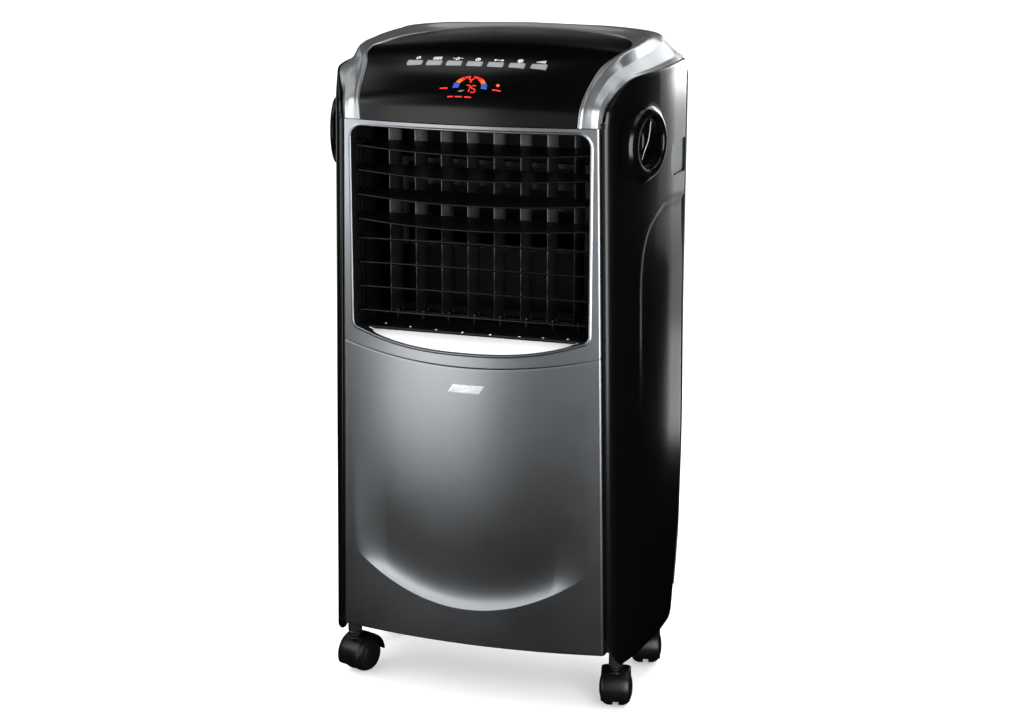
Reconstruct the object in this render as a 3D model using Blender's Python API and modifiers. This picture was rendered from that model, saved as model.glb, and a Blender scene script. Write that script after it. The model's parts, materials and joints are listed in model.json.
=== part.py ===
# Evaporative air cooler on four twin-wheel casters, as separate pieces.
# Design dimensions are in millimetres and are scaled to metres when a mesh is
# made.  +Z is up, the outlet faces -Y, X is the width.  The origin is on the
# floor, under the middle of the body.
import bpy
import bmesh
import math
from mathutils import Vector, Matrix

for _o in list(bpy.data.objects):
    bpy.data.objects.remove(_o, do_unlink=True)

# ------------------------------------------------------------ driving dimensions
MM = 0.001
Y_SHIFT = 7.2            # moves the design frame so the body is centred on Y
GAP = 0.4                # clearance between pieces that meet
SKIN = 2.5               # wall of the moulded covers

Z_SEAM = 764.0           # joint between outlet frame and top cover
Z_FRONT_BOTTOM = 88.5    # lower edge of the silver front
HALF_W_TOP = 168.0       # half width of the silver front at the top joint
HALF_W_BOT = 181.0       # and at its lower edge
Y_FRONT = -127.0         # corner edges of the silver front
BULGE = 20.0             # how far its middle stands ahead of the corners
Z_SPLIT = 459.5          # joint between outlet frame and lower panel, middle
SPLIT_RISE = 19.5        # rise of that joint at the sides
Z_SIDE_BOTTOM = 66.0
Y_REAR = 112.0           # rear edge of the side panels
REAR_DEPTH = 12.0        # thickness of the rear cover behind them

OPEN_HALF = 156.5        # outlet opening
OPEN_TOP = 755.5
OPEN_ARC = 478.0         # lowest point of its curved lower edge
OPEN_ARC_RISE = 22.0

LOUVRES = 8
LOUVRE_TOP = 732.3
LOUVRE_PITCH = 31.1
LOUVRE_Y = -105.0        # pivot line
LOUVRE_TILT = 14.0       # degrees at rest, upper bank nose down, lower nose up
LOUVRE_T = 1.9
VANES = 8
VANE_PITCH = 35.3
VANE_Y = -62.0
VANE_CRANK = 18.0
LOUVRE_CRANK = 8.0

HANDLE_Y = -51.0
HANDLE_Z = 738.0
HANDLE_R = 44.5

CASTER_X = 184.5
CASTER_YF = -82.0
CASTER_YR = 70.0
WHEEL_R = 24.0
TRAIL = 12.0

BUTTONS = 7
BUTTON_PITCH = 27.0

# ------------------------------------------------------------ scene and helpers
COL = bpy.data.collections.new("evaporative_cooler")
CUT = bpy.data.collections.new("cutters")
bpy.context.scene.collection.children.link(COL)
bpy.context.scene.collection.children.link(CUT)

MATS = {}


def material(name, rgb, rough, metal):
    if name not in MATS:
        m = bpy.data.materials.new(name)
        m.use_nodes = True
        b = m.node_tree.nodes["Principled BSDF"]
        b.inputs["Base Color"].default_value = (rgb[0], rgb[1], rgb[2], 1.0)
        b.inputs["Roughness"].default_value = rough
        b.inputs["Metallic"].default_value = metal
        MATS[name] = m
    return MATS[name]


M_SILVER = ("silver_paint", (0.42, 0.43, 0.44), 0.32, 0.8)
M_WHITE = ("bright_silver", (0.75, 0.76, 0.77), 0.3, 0.5)
M_BLACK = ("gloss_black", (0.012, 0.012, 0.013), 0.12, 0.0)
M_MATT = ("matt_black", (0.02, 0.02, 0.021), 0.55, 0.0)
M_GREY = ("mid_grey", (0.12, 0.13, 0.135), 0.5, 0.0)
M_KEY = ("key_silver", (0.5, 0.52, 0.54), 0.3, 0.6)
M_PCB = ("board_green", (0.02, 0.12, 0.05), 0.5, 0.0)
M_PAD = ("pad_brown", (0.32, 0.22, 0.12), 0.9, 0.0)
M_TANK = ("tank_clear_grey", (0.45, 0.5, 0.52), 0.35, 0.0)
M_STEEL = ("steel", (0.55, 0.55, 0.56), 0.3, 1.0)
M_RUBBER = ("caster_black", (0.015, 0.015, 0.015), 0.5, 0.0)
M_CERAM = ("heater_block", (0.5, 0.48, 0.45), 0.6, 0.3)


def v(x, y, z):
    """Design millimetres to world metres."""
    return Vector((x, y + Y_SHIFT, z)) * MM


def finish(name, bm, mat, origin=(0, -Y_SHIFT, 0), cutter=False, smooth=None):
    """Make the object of a bmesh that holds world metres."""
    o = v(*origin)
    bmesh.ops.translate(bm, verts=bm.verts, vec=-o)
    me = bpy.data.meshes.new(name)
    bm.to_mesh(me)
    bm.free()
    ob = bpy.data.objects.new(name, me)
    ob.location = o
    if cutter:
        CUT.objects.link(ob)
        ob.hide_render = True
        ob.display_type = 'WIRE'
    else:
        COL.objects.link(ob)
        me.materials.append(material(*mat))
        if smooth is not None:
            me.shade_smooth()
            me.set_sharp_from_angle(angle=math.radians(smooth))
    return ob


def bm_box(x0, x1, y0, y1, z0, z1, bm=None):
    bm = bm or bmesh.new()
    r = bmesh.ops.create_cube(bm, size=1.0)
    a, b = v(x0, y0, z0), v(x1, y1, z1)
    for p in r["verts"]:
        p.co = Vector((a.x + (p.co.x + 0.5) * (b.x - a.x),
                       a.y + (p.co.y + 0.5) * (b.y - a.y),
                       a.z + (p.co.z + 0.5) * (b.z - a.z)))
    return bm


def bm_cyl(p0, p1, r, seg=16, bm=None, r2=None):
    """Solid cylinder or cone from p0 to p1."""
    bm = bm or bmesh.new()
    a, b = v(*p0), v(*p1)
    d = b - a
    rot = Vector((0, 0, 1)).rotation_difference(d.normalized()).to_matrix().to_4x4()
    m = Matrix.Translation((a + b) / 2) @ rot
    bmesh.ops.create_cone(bm, cap_ends=True, segments=seg, radius1=r * MM,
                          radius2=(r if r2 is None else r2) * MM,
                          depth=d.length, matrix=m)
    return bm


def bm_prism(outline, axis, lo, hi, bm=None):
    """Flat outline (list of 2-D points) pushed along an axis from lo to hi."""
    bm = bm or bmesh.new()
    n0 = len(bm.verts)

    def place(p, h):
        if axis == 'Y':
            return v(p[0], h, p[1])
        if axis == 'Z':
            return v(p[0], p[1], h)
        return v(h, p[0], p[1])
    vs = [bm.verts.new(place(p, lo)) for p in outline]
    f = bm.faces.new(vs)
    r = bmesh.ops.extrude_face_region(bm, geom=[f])
    step = place((0, 0), hi) - place((0, 0), lo)
    nv = [e for e in r["geom"] if isinstance(e, bmesh.types.BMVert)]
    bmesh.ops.translate(bm, verts=nv, vec=step)
    bm.verts.ensure_lookup_table()
    new = set(bm.verts[n0:])
    bmesh.ops.recalc_face_normals(bm, faces=[f for f in bm.faces if f.verts[0] in new])
    return bm


def bm_turned(profile, seg, centre, axis):
    """Profile of (radius, height) points spun about an axis through centre."""
    bm = bmesh.new()
    closed = profile[0][0] > 1e-6
    vs = [bm.verts.new((p[0] * MM, 0, p[1] * MM)) for p in profile]
    es = [bm.edges.new((a, b)) for a, b in zip(vs, vs[1:])]
    if closed:
        es.append(bm.edges.new((vs[-1], vs[0])))
    bmesh.ops.spin(bm, geom=vs + es, axis=(0, 0, 1), cent=(0, 0, 0),
                   angle=math.tau, steps=seg, use_merge=False, use_duplicate=False)
    bmesh.ops.remove_doubles(bm, verts=bm.verts, dist=1e-6)
    bmesh.ops.dissolve_degenerate(bm, edges=bm.edges, dist=1e-7)
    bmesh.ops.recalc_face_normals(bm, faces=bm.faces)
    rot = Vector((0, 0, 1)).rotation_difference(Vector(axis).normalized()).to_matrix().to_4x4()
    bmesh.ops.transform(bm, matrix=Matrix.Translation(v(*centre)) @ rot, verts=bm.verts)
    return bm


def bm_grid(rows, inside):
    """Open surface through rows of points; its normals point away from inside."""
    bm = bmesh.new()
    vv = [[bm.verts.new(v(*p)) for p in row] for row in rows]
    for a, b in zip(vv, vv[1:]):
        for i in range(len(a) - 1):
            q = [a[i], a[i + 1], b[i + 1], b[i]]
            if len({tuple(round(c, 7) for c in k.co) for k in q}) >= 3:
                bm.faces.new(q)
    bmesh.ops.remove_doubles(bm, verts=bm.verts, dist=2e-5)
    c = v(*inside)
    s = 0.0
    for f in bm.faces:
        f.normal_update()
        s += f.normal.dot(f.calc_center_median() - c) * f.calc_area()
    if s < 0:
        bmesh.ops.reverse_faces(bm, faces=bm.faces)
    return bm


def solidify(ob, t=SKIN):
    m = ob.modifiers.new("wall", 'SOLIDIFY')
    m.thickness = t * MM
    m.offset = -1.0
    m.use_even_offset = False
    m.use_rim = True
    return ob


def boolean(ob, other, op):
    m = ob.modifiers.new(op.lower(), 'BOOLEAN')
    m.operation = op
    m.solver = 'EXACT'
    m.object = other
    return ob


def cut(ob, bm, tag):
    c = finish("cut_" + ob.name + "_" + tag, bm, None, cutter=True)
    return boolean(ob, c, 'DIFFERENCE')


def join(ob, bm, tag):
    c = finish("add_" + ob.name + "_" + tag, bm, None, cutter=True)
    return boolean(ob, c, 'UNION')


def lerp(a, b, t):
    return a + (b - a) * t


def clamp(t, lo=0.0, hi=1.0):
    return max(lo, min(hi, t))


def spline(ctrl, t):
    """Catmull-Rom through control points, t from 0 to len-1."""
    n = len(ctrl) - 1
    i = int(clamp(math.floor(t), 0, n - 1))
    f = t - i
    p1, p2 = ctrl[i], ctrl[i + 1]
    p0 = ctrl[i - 1] if i > 0 else tuple(2 * a - b for a, b in zip(p1, p2))
    p3 = ctrl[i + 2] if i + 2 <= n else tuple(2 * b - a for a, b in zip(p1, p2))
    return tuple(0.5 * (2 * b + (c - a) * f + (2 * a - 5 * b + 4 * c - d) * f * f
                        + (3 * b - a - 3 * c + d) * f ** 3)
                 for a, b, c, d in zip(p0, p1, p2, p3))


# ------------------------------------------------------------ body shape rules
def half_w(z):
    return HALF_W_BOT - (HALF_W_BOT - HALF_W_TOP) * (z - 89.0) / 674.0


def front_y(x, z):
    return Y_FRONT - BULGE * (1 - min(1.0, (x / half_w(z)) ** 2))


def split_z(x):
    return Z_SPLIT + SPLIT_RISE * (x / 175.0) ** 2


def arc_z(x):
    return OPEN_ARC + OPEN_ARC_RISE * (abs(x) / 152.0) ** 2.5


def smile_z(x):
    return 137.0 + 0.0023 * x * x


def scoop(x, z):
    """Depth of the hollow above the smile line of the lower panel."""
    d = z - smile_z(x)
    if d <= 0:
        return 0.0
    side = clamp((160.0 - abs(x)) / 45.0) ** 1.2
    return 6.0 * (1 - math.exp(-d / 22.0)) * math.exp(-(d / 95.0) ** 2) * side


def rim(y):
    """Half width and height of the top cover's outer rim at a depth."""
    if y <= RIM[0][1]:
        return RIM[0][0], RIM[0][2]
    for p, q in zip(RIM, RIM[1:]):
        if y <= q[1]:
            t = (y - p[1]) / (q[1] - p[1])
            return lerp(p[0], q[0], t), lerp(p[2], q[2], t)
    return RIM[-1][0], RIM[-1][2]


def side_top(y):
    """Height of the side panel's upper edge along the depth."""
    return min(829.0, rim(y)[1])


def side_bottom(y):
    """Lower edge: a rounded front corner, then level."""
    t = clamp((y + 125.0) / 37.0)
    return 112.0 - (112.0 - Z_SIDE_BOTTOM) * math.sqrt(max(0.0, 1 - (1 - t) ** 2))


def rear_shift(z):
    return 8.0 * math.exp(-((z - 330.0) / 120.0) ** 2) - 34.0 * clamp((200.0 - z) / 140.0) ** 1.5


def side_x(y, z):
    """Half width of the side panel's outer skin."""
    t = y + 125.0
    x = 184.5 + 32.0 * (1 - (1 - min(t, 175.0) / 175.0) ** 2)
    if t < 14.0:
        x -= 9.5 * (1 - math.sqrt(max(0.0, 1 - (1 - max(t, 0) / 14.0) ** 2)))
    if y > 98.0:
        x -= 8.0 * (1 - math.sqrt(max(0.0, 1 - ((y - 98.0) / 14.0) ** 2)))
    x += (half_w(z) - 173.5) * clamp(1 - t / 110.0)
    if z < 85.0:
        x -= 9.0 * (1 - math.sqrt(max(0.0, 1 - ((85.0 - z) / 21.0) ** 2)))
    rx, top = rim(y)
    if z > top - 14.0:
        k = clamp((z - top + 14.0) / 14.0)
        x -= max(0.0, x - rx - 3.4) * (1 - math.sqrt(1 - k * k))
    return x


def side_point(y0, r, sgn):
    zb, zt = side_bottom(y0), side_top(y0)
    z = lerp(zb, zt, r)
    y = y0 + rear_shift(z) * clamp(y0 / Y_REAR) ** 1.5
    return (sgn * side_x(y0, z), y, z)


# stations of the top cover's loft, right half, from the front joint round to
# the middle of the rear: panel edge, crown, ridge, foot of the outer wall, rim
COVER = [
    ((141, -134, 764.4), (149, -133, 764.4), (157, -131, 764.4), (164.5, -128.5, 764.4), (168, -124.5, 764.4)),
    ((143, -131, 787), (151, -130.5, 787.5), (158.5, -128, 787), (166, -125, 785.5), (169.5, -122, 784)),
    ((145.5, -119, 803), (154, -117.5, 805.5), (162, -115, 804.5), (169.5, -114, 799), (173.0, -112, 796)),
    ((148.5, -100, 818), (158, -99.5, 823), (169, -99, 820.5), (177.5, -99.5, 812), (181.0, -100, 809)),
    ((153, -80, 831), (164, -79.5, 835.5), (176.5, -79, 829.5), (187.0, -80, 822), (190.5, -81, 819.5)),
    ((161, -60, 840), (175, -59, 847.5), (181, -58, 834.5), (193.0, -58, 825), (196.8, -59, 823)),
    ((166, -30, 845.5), (179.5, -30, 853), (184.5, -30, 838.5), (198.0, -30, 826.5), (202.4, -30, 824.8)),
    ((166, 0, 847), (180.5, 0, 856), (186, 2, 841), (201.5, 4, 828), (206.8, 5, 826)),
    ((161, 35, 850), (179, 38, 860), (187, 42, 844.5), (203.0, 46, 830), (209.2, 48, 827.5)),
    ((150, 66, 853), (173, 76, 862.5), (187, 87, 851), (201.5, 90, 834), (208.5, 94, 829)),
    ((128, 88, 856), (150, 102, 865.5), (174, 108, 861), (193, 115, 840.5), (202, 119, 832.5)),
    ((95, 97, 859), (105, 107, 868), (120, 115, 866.5), (130, 120, 837), (135, 123, 831.5)),
    ((50, 102, 861.5), (53, 110, 869), (58, 117, 868), (62, 121, 836.5), (64, 123, 832)),
    ((0, 103.5, 862.5), (0, 111, 870), (0, 117.5, 869), (0, 121, 837), (0, 123, 832)),
]
RIM = [spline([row[4] for row in COVER], k / 2.0) for k in range(21)]
# middle line of the control panel at the same stations
PANEL_MID = [(0, -146.6, 764.4), (0, -145.5, 787), (0, -138, 806), (0, -121, 823.5),
             (0, -100, 836.5), (0, -75, 846), (0, -40, 853.5), (0, 0, 858),
             (0, 35, 860.5), (0, 63, 861.5), (0, 85, 862), (0, 95, 862.2),
             (0, 101, 862.4), (0, 103.5, 862.5)]


def cover_ring(t):
    """The five loft points at station t, from the panel edge outwards."""
    return [spline([row[k] for row in COVER], t) for k in range(5)]


def panel_point(t, u):
    """Outer face of the control panel: t along the stations, u from -1 to 1."""
    a = spline([row[0] for row in COVER], t)
    m = spline(PANEL_MID, t)
    k = max(0.0, (a[0] - 0.6)) / a[0] if a[0] > 1 else 0.0
    u = u * k
    y = lerp(m[1], a[1], u * u) - 0.9 * clamp((t - 8.0) / 2.0)
    return (a[0] * u, y, lerp(m[2], a[2], u * u))


def panel_at(x, y):
    """Height and normal of the control panel's face above a plan position."""
    lo, hi = 0.0, 12.0
    for _ in range(40):
        t = (lo + hi) / 2
        a = spline([row[0] for row in COVER], t)
        m = spline(PANEL_MID, t)
        u = x / max(a[0], 1.0)
        if lerp(m[1], a[1], u * u) < y:
            lo = t
        else:
            hi = t
    return lerp(m[2], a[2], u * u), t


# ------------------------------------------------------------ silver front
def front_section(z, n):
    """Plan points of the silver front at one height, left to right."""
    w = half_w(z)
    pts = [(-w, -113.0), (-w, -124.0), (-w + 3.0, front_y(w - 3.0, z))]
    for i in range(1, n):
        x = lerp(-w + 3.0, w - 3.0, i / n)
        pts.append((x, front_y(x, z)))
    pts += [(w - 3.0, front_y(w - 3.0, z)), (w, -124.0), (w, -113.0)]
    return pts


def front_sheet(z_low, z_high, rows, n, dent=None):
    out = []
    for j in range(rows + 1):
        row = []
        for k, (x, y) in enumerate(front_section(300, n)):
            s = x / half_w(300)
            z = lerp(z_low(s * 175.0), z_high(s * 175.0), j / rows)
            xx = s * half_w(z)
            if 2 <= k <= n + 2:
                xx = math.copysign(min(abs(xx), half_w(z) - 3.0), xx)
                yy = front_y(xx, z) + (dent(xx, z) if dent else 0.0)
            else:
                yy = y
            row.append((xx, yy, z))
        out.append(row)
    return out


def outlet_outline(grow=0.0, steps=10):
    """The outlet opening in X and Z, anticlockwise from the lower left."""
    h, top = OPEN_HALF + grow, OPEN_TOP + grow
    r = 16.0
    pts = []
    for i in range(steps + 1):
        x = lerp(-(h - 9.0), h - 9.0, i / steps)
        pts.append((x, arc_z(x) - grow))
    pts.append((h, arc_z(h - 9.0) + 9.0 - grow))
    for i in range(5):
        a = math.radians(22.5 * i)
        pts.append((h - r + r * math.cos(a), top - r + r * math.sin(a)))
    for i in range(5):
        a = math.radians(90 + 22.5 * i)
        pts.append((-h + r + r * math.cos(a), top - r + r * math.sin(a)))
    pts.append((-h, arc_z(h - 9.0) + 9.0 - grow))
    return pts


ob = finish("front_frame",
            bm_grid(front_sheet(lambda x: split_z(x) + 0.4, lambda x: Z_SEAM - 0.4, 2, 12), (0, 0, 600)),
            M_SILVER, smooth=35)
solidify(ob, 3.0)
cut(ob, bm_prism(outlet_outline(), 'Y', -170, -122), "outlet")

ob = finish("lower_front_panel",
            bm_grid(front_sheet(lambda x: Z_FRONT_BOTTOM, lambda x: split_z(x) - 0.4, 9, 12, scoop), (0, 0, 300)),
            M_SILVER, smooth=35)
solidify(ob, 3.0)

# sill: rises from behind the curved lower edge of the outlet to its straight rear line
SILL_HALF = 138.0
rows = [[], [], [], []]
for i in range(11):
    x = lerp(-SILL_HALF, SILL_HALF, i / 10)
    f = front_y(x, 480) + 3.6
    rows[0].append((x, f + 0.2, arc_z(x) - 10))
    rows[1].append((x, f + 0.2, arc_z(x) + 0.5))
    rows[2].append((x, -117.4, max(493.2, arc_z(x) + 0.5)))
    rows[3].append((x, -117.0, 482.0))
ob = finish("outlet_sill", bm_grid(rows, (0, -125, 470)), M_WHITE, smooth=35)
solidify(ob, 2.0)

# ------------------------------------------------------------ side panels
SIDE_Y = [-125, -123.5, -120, -114, -104, -88, -70, -45, -15, 20, 60, 90, 104, 112]
SIDE_R = [0, 0.012, 0.03, 0.08, 0.2, 0.34, 0.5, 0.66, 0.8, 0.92, 0.975, 0.99, 1.0]


def handle_frame(sgn):
    """Centre and outward direction of the hand grip."""
    e = 6.0
    x0, x1 = side_x(HANDLE_Y - e, HANDLE_Z), side_x(HANDLE_Y + e, HANDLE_Z)
    d = Vector((2 * e, -(x1 - x0), 0)).normalized()
    return (sgn * side_x(HANDLE_Y, HANDLE_Z), HANDLE_Y, HANDLE_Z), Vector((sgn * d.x, d.y, 0))


def along(c, n, h):
    return (c[0] + n.x * h, c[1] + n.y * h, c[2] + n.z * h)


for side, sgn in (("left", -1), ("right", 1)):
    rows = [[side_point(y, r, sgn) for y in SIDE_Y] for r in SIDE_R]
    ob = finish("side_panel_" + side, bm_grid(rows, (0, -20, 440)), M_BLACK, smooth=40)
    solidify(ob, SKIN)
    c, n = handle_frame(sgn)
    cut(ob, bm_cyl(along(c, n, -22), along(c, n, 22), 38.0, 20), "grip")
    notch = [(33, 694), (39, 684), (140, 684), (140, 729), (39, 729), (33, 719)]
    cut(ob, bm_prism(notch, 'X', sgn * 196, sgn * 230), "notch")
    # hand grip: a cup with a rounded ring that stands on the panel
    prof = [(0.0, -25.0), (31.0, -24.0), (HANDLE_R - 12.5, 1.0), (HANDLE_R - 11.0, 5.5),
            (HANDLE_R - 7.0, 8.0), (HANDLE_R - 2.5, 6.6), (HANDLE_R, 3.0), (HANDLE_R - 1.0, 1.2),
            (36.6, 1.2), (35.8, -8.0), (33.0, -26.4), (0.0, -27.4)]
    finish("handle_" + side, bm_turned(prof, 20, c, n), M_BLACK, smooth=40)

# ------------------------------------------------------------ top cover and panel
STATIONS = [0, 0.5, 1, 1.5, 2, 3, 4, 5, 6, 7, 8, 9, 9.5, 10, 10.6, 11.3, 12.2, 13]


def mirror_rows(half):
    """Right-half rows at the stations, continued to the left front joint."""
    left = [[(-p[0], p[1], p[2]) for p in r] for r in half[:-1]]
    return half + left[::-1]


half = []
for t in STATIONS:
    a, b, c, d, e = cover_ring(t)
    if t >= 12.99:
        a, b, c, d, e = [(0.0, p[1], p[2]) for p in (a, b, c, d, e)]
    half.append([a, b, c, d, e])
ob = finish("top_cover", bm_grid(mirror_rows(half), (0, 0, 700)), M_SILVER, smooth=40)
solidify(ob, 2.4)

P_STATIONS = [0, 0.5, 1, 1.5, 2, 3, 4, 5, 6, 7, 8, 9, 10, 11, 12]
rows = []
for t in P_STATIONS:
    rows.append([panel_point(t, -1 + 2 * i / 10) for i in range(11)])
ob = finish("control_panel", bm_grid(rows, (0, 20, 700)), M_BLACK, smooth=40)
solidify(ob, 2.6)

key_cut = None


def key_y(x):
    """The row of keys curves with the panel's front edge."""
    return -104.7 + 5.9 * (x / 81.0) ** 2


for i in range(BUTTONS):
    x = (i - (BUTTONS - 1) / 2) * BUTTON_PITCH
    ky = key_y(x)
    z, t = panel_at(x, ky)
    z2, _ = panel_at(x, ky + 2.0)
    tilt = math.atan2(z2 - z, 2.0)
    up = Vector((0, -math.sin(tilt), math.cos(tilt)))
    back = Vector((0, math.cos(tilt), math.sin(tilt)))
    m = Matrix((Vector((1, 0, 0)), back, up)).transposed().to_4x4()
    place = Matrix.Translation(v(x, ky, z)) @ m
    # the key: a block with eased edges, its top 1.4 mm proud of the panel
    bm = bmesh.new()
    bmesh.ops.create_cube(bm, size=1.0)
    for p in bm.verts:
        p.co = Vector((p.co.x * 20.0, p.co.y * 9.0, -4.2 + (p.co.z + 0.5) * 5.8)) * MM
    bmesh.ops.bevel(bm, geom=[e for e in bm.edges if all(q.co.z > 0 for q in e.verts)],
                    offset=0.8 * MM, segments=1, affect='EDGES')
    bmesh.ops.transform(bm, matrix=place, verts=bm.verts)
    finish("button_%d" % (i + 1), bm, M_KEY, origin=(x, ky, z))
    kc = bmesh.new() if key_cut is None else key_cut
    r = bmesh.ops.create_cube(kc, size=1.0)
    for p in r["verts"]:
        p.co = place @ (Vector((p.co.x * 20.9, p.co.y * 9.9, p.co.z * 16.0)) * MM)
    key_cut = kc
cut(ob, key_cut, "keys")

# board with the display and key switches, below the panel
zc = 790.0
board = bm_prism([(-128, 0), (128, 0), (128, 1.8), (-128, 1.8)], 'Y', -36, 36)
bmesh.ops.translate(board, verts=board.verts, vec=-v(0, 0, 0))
BOARD_TILT = math.radians(42)
bmesh.ops.transform(board, matrix=Matrix.Translation(v(0, -103, 803)) @ Matrix.Rotation(BOARD_TILT, 4, 'X'),
                    verts=board.verts)
ob = finish("control_board", board, M_PCB)

# ------------------------------------------------------------ air duct
duct = bm_box(-160.4, 160.4, -150, -12, 494.8, 759.6)
ob = finish("air_duct", duct, M_MATT)
cut(ob, bm_box(-158.2, 158.2, -170, 0, 497.0, 757.4), "bore")
front_cut = []
for i in range(13):
    x = lerp(-168, 168, i / 12)
    front_cut.append((x, max(front_y(x, 620) + 4.6, -200)))
cut(ob, bm_prism([(-168, -200)] + front_cut + [(168, -200)], 'Z', 450, 800), "front")
cut(ob, bm_box(-170, 170, -200, -116.6, 480, 500), "sill")
pins = bmesh.new()
for i in range(LOUVRES):
    z = LOUVRE_TOP - LOUVRE_PITCH * i
    bm_cyl((-170, LOUVRE_Y, z), (170, LOUVRE_Y, z), 2.1, 6, pins)
cut(ob, pins, "louvre_pins")
pins = bmesh.new()
for i in range(VANES):
    x = (i - (VANES - 1) / 2) * VANE_PITCH
    bm_cyl((x, VANE_Y, 480), (x, VANE_Y, 780), 2.1, 6, pins)
cut(ob, pins, "vane_pins")

# ------------------------------------------------------------ louvres
L_END_L, L_END_R = -152.6, 155.2


def blade_outline():
    """Plan of a blade about its pivot line: straight rear edge, bowed front edge."""
    pts = [(L_END_L, 9.0), (L_END_R, 9.0)]
    for i in range(11):
        x = lerp(L_END_R, L_END_L, i / 10)
        pts.append((x, -(13.0 + 19.0 * (1 - (x / 155.0) ** 2))))
    return pts


for i in range(LOUVRES):
    z = LOUVRE_TOP - LOUVRE_PITCH * i
    tilt = math.radians(LOUVRE_TILT if i < 4 else -LOUVRE_TILT)
    bm = bmesh.new()
    vs = [bm.verts.new(Vector((x, y, -LOUVRE_T / 2)) * MM) for x, y in blade_outline()]
    f = bm.faces.new(vs)
    r = bmesh.ops.extrude_face_region(bm, geom=[f])
    bmesh.ops.translate(bm, vec=(0, 0, LOUVRE_T * MM),
                        verts=[e for e in r["geom"] if isinstance(e, bmesh.types.BMVert)])
    bmesh.ops.recalc_face_normals(bm, faces=bm.faces)
    turn = Matrix.Translation(v(0, LOUVRE_Y, z)) @ Matrix.Rotation(tilt, 4, 'X')
    bmesh.ops.transform(bm, matrix=turn, verts=bm.verts)
    ob = finish("louvre_%d" % (i + 1), bm, M_MATT, origin=(0, LOUVRE_Y, z))
    p = bmesh.new()
    bm_cyl((L_END_L - 7.2, LOUVRE_Y, z), (L_END_L + 6, LOUVRE_Y, z), 1.7, 8, p)
    bm_cyl((L_END_R - 6, LOUVRE_Y, z), (L_END_R + 4.6, LOUVRE_Y, z), 1.7, 8, p)
    k = turn @ (Vector((0, LOUVRE_CRANK, 0)) * MM)
    ky, kz = k.y / MM - Y_SHIFT, k.z / MM
    bm_cyl((L_END_L - 3.6, ky, kz), (L_END_L + 6, ky, kz), 1.2, 8, p)
    join(ob, p, "pins")

# upright links of the two banks, beside the left wall
for nm, first in (("upper", 0), ("lower", 4)):
    tilt = math.radians(LOUVRE_TILT if nm == "upper" else -LOUVRE_TILT)
    ky = LOUVRE_Y + LOUVRE_CRANK * math.cos(tilt)
    kz = LOUVRE_CRANK * math.sin(tilt)
    z_hi = LOUVRE_TOP - LOUVRE_PITCH * first + kz
    z_lo = z_hi - 3 * LOUVRE_PITCH
    ob = finish("louvre_link_" + nm,
                bm_box(-156.6, -154.2, ky - 3.2, ky + 3.4, z_lo - 4, z_hi + 4), M_MATT,
                origin=(-155.4, ky, (z_hi + z_lo) / 2))
    # the crank pins run in slots that are open at the link's front edge
    slots = bmesh.new()
    for i in range(4):
        zz = z_hi - LOUVRE_PITCH * i
        bm_box(-160, -150, ky - 5, ky + 1.9, zz - 2.0, zz + 2.0, slots)
    cut(ob, slots, "slots")

# ------------------------------------------------------------ vanes and their link
V_Z0, V_Z1 = 500.5, 754.0
for i in range(VANES):
    x = (i - (VANES - 1) / 2) * VANE_PITCH
    outline = [(x - 0.9, VANE_Y - 22), (x + 0.9, VANE_Y - 22), (x + 1.3, VANE_Y), (x + 0.9, VANE_Y + 21),
               (x - 0.9, VANE_Y + 21), (x - 1.3, VANE_Y)]
    ob = finish("vane_%d" % (i + 1), bm_prism(outline, 'Z', V_Z0 + 8.5, V_Z1), M_MATT,
                origin=(x, VANE_Y, (V_Z0 + V_Z1) / 2))
    p = bmesh.new()
    bm_cyl((x, VANE_Y, V_Z1 - 5), (x, VANE_Y, 759.0), 1.7, 8, p)
    bm_cyl((x, VANE_Y, 495.4), (x, VANE_Y, V_Z0 + 14), 1.7, 8, p)
    bm_cyl((x, VANE_Y + VANE_CRANK, V_Z0 + 0.6), (x, VANE_Y + VANE_CRANK, V_Z0 + 14), 1.2, 8, p)
    join(ob, p, "pins")
yk = VANE_Y + VANE_CRANK
ob = finish("vane_link", bm_box(-132, 132, yk - 4.5, yk + 4.0, 501.6, 504.0), M_MATT, origin=(0, yk, 502.8))
slots = bmesh.new()
for i in range(VANES):
    x = (i - (VANES - 1) / 2) * VANE_PITCH
    bm_box(x - 2.2, x + 2.2, yk - 8, yk + 1.7, 495, 510, slots)
cut(ob, slots, "slots")
finish("swing_motor", bm_cyl((0, yk + 14, 474), (0, yk + 14, 494.4), 17, 16), M_STEEL, smooth=40)

# heater block across the duct, behind the vanes
ob = finish("heater", bm_box(-128, 128, -32, -20, 590, 705), M_CERAM)
fins = bmesh.new()
for i in range(4):
    z = 602 + 27.5 * i
    bm_box(-118, 118, -40, -12, z - 5, z + 14, fins)
cut(ob, fins, "rows")

# ------------------------------------------------------------ blower
WHEEL_Z, BLOW_R = 400.0, 96.0
Y_B0, Y_B1 = -6.0, 48.0


def blower_outline(grow):
    pts = []
    for i in range(17):
        a = math.radians(180 + 11.25 * i)
        rr = 118.0 + grow
        pts.append((rr * math.cos(a), WHEEL_Z + rr * math.sin(a)))
    pts.append((150 + grow, 505 - grow))
    pts.append((150 + grow, 754 + grow))
    pts.append((-150 - grow, 754 + grow))
    pts.append((-150 - grow, 505 - grow))
    return pts


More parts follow.
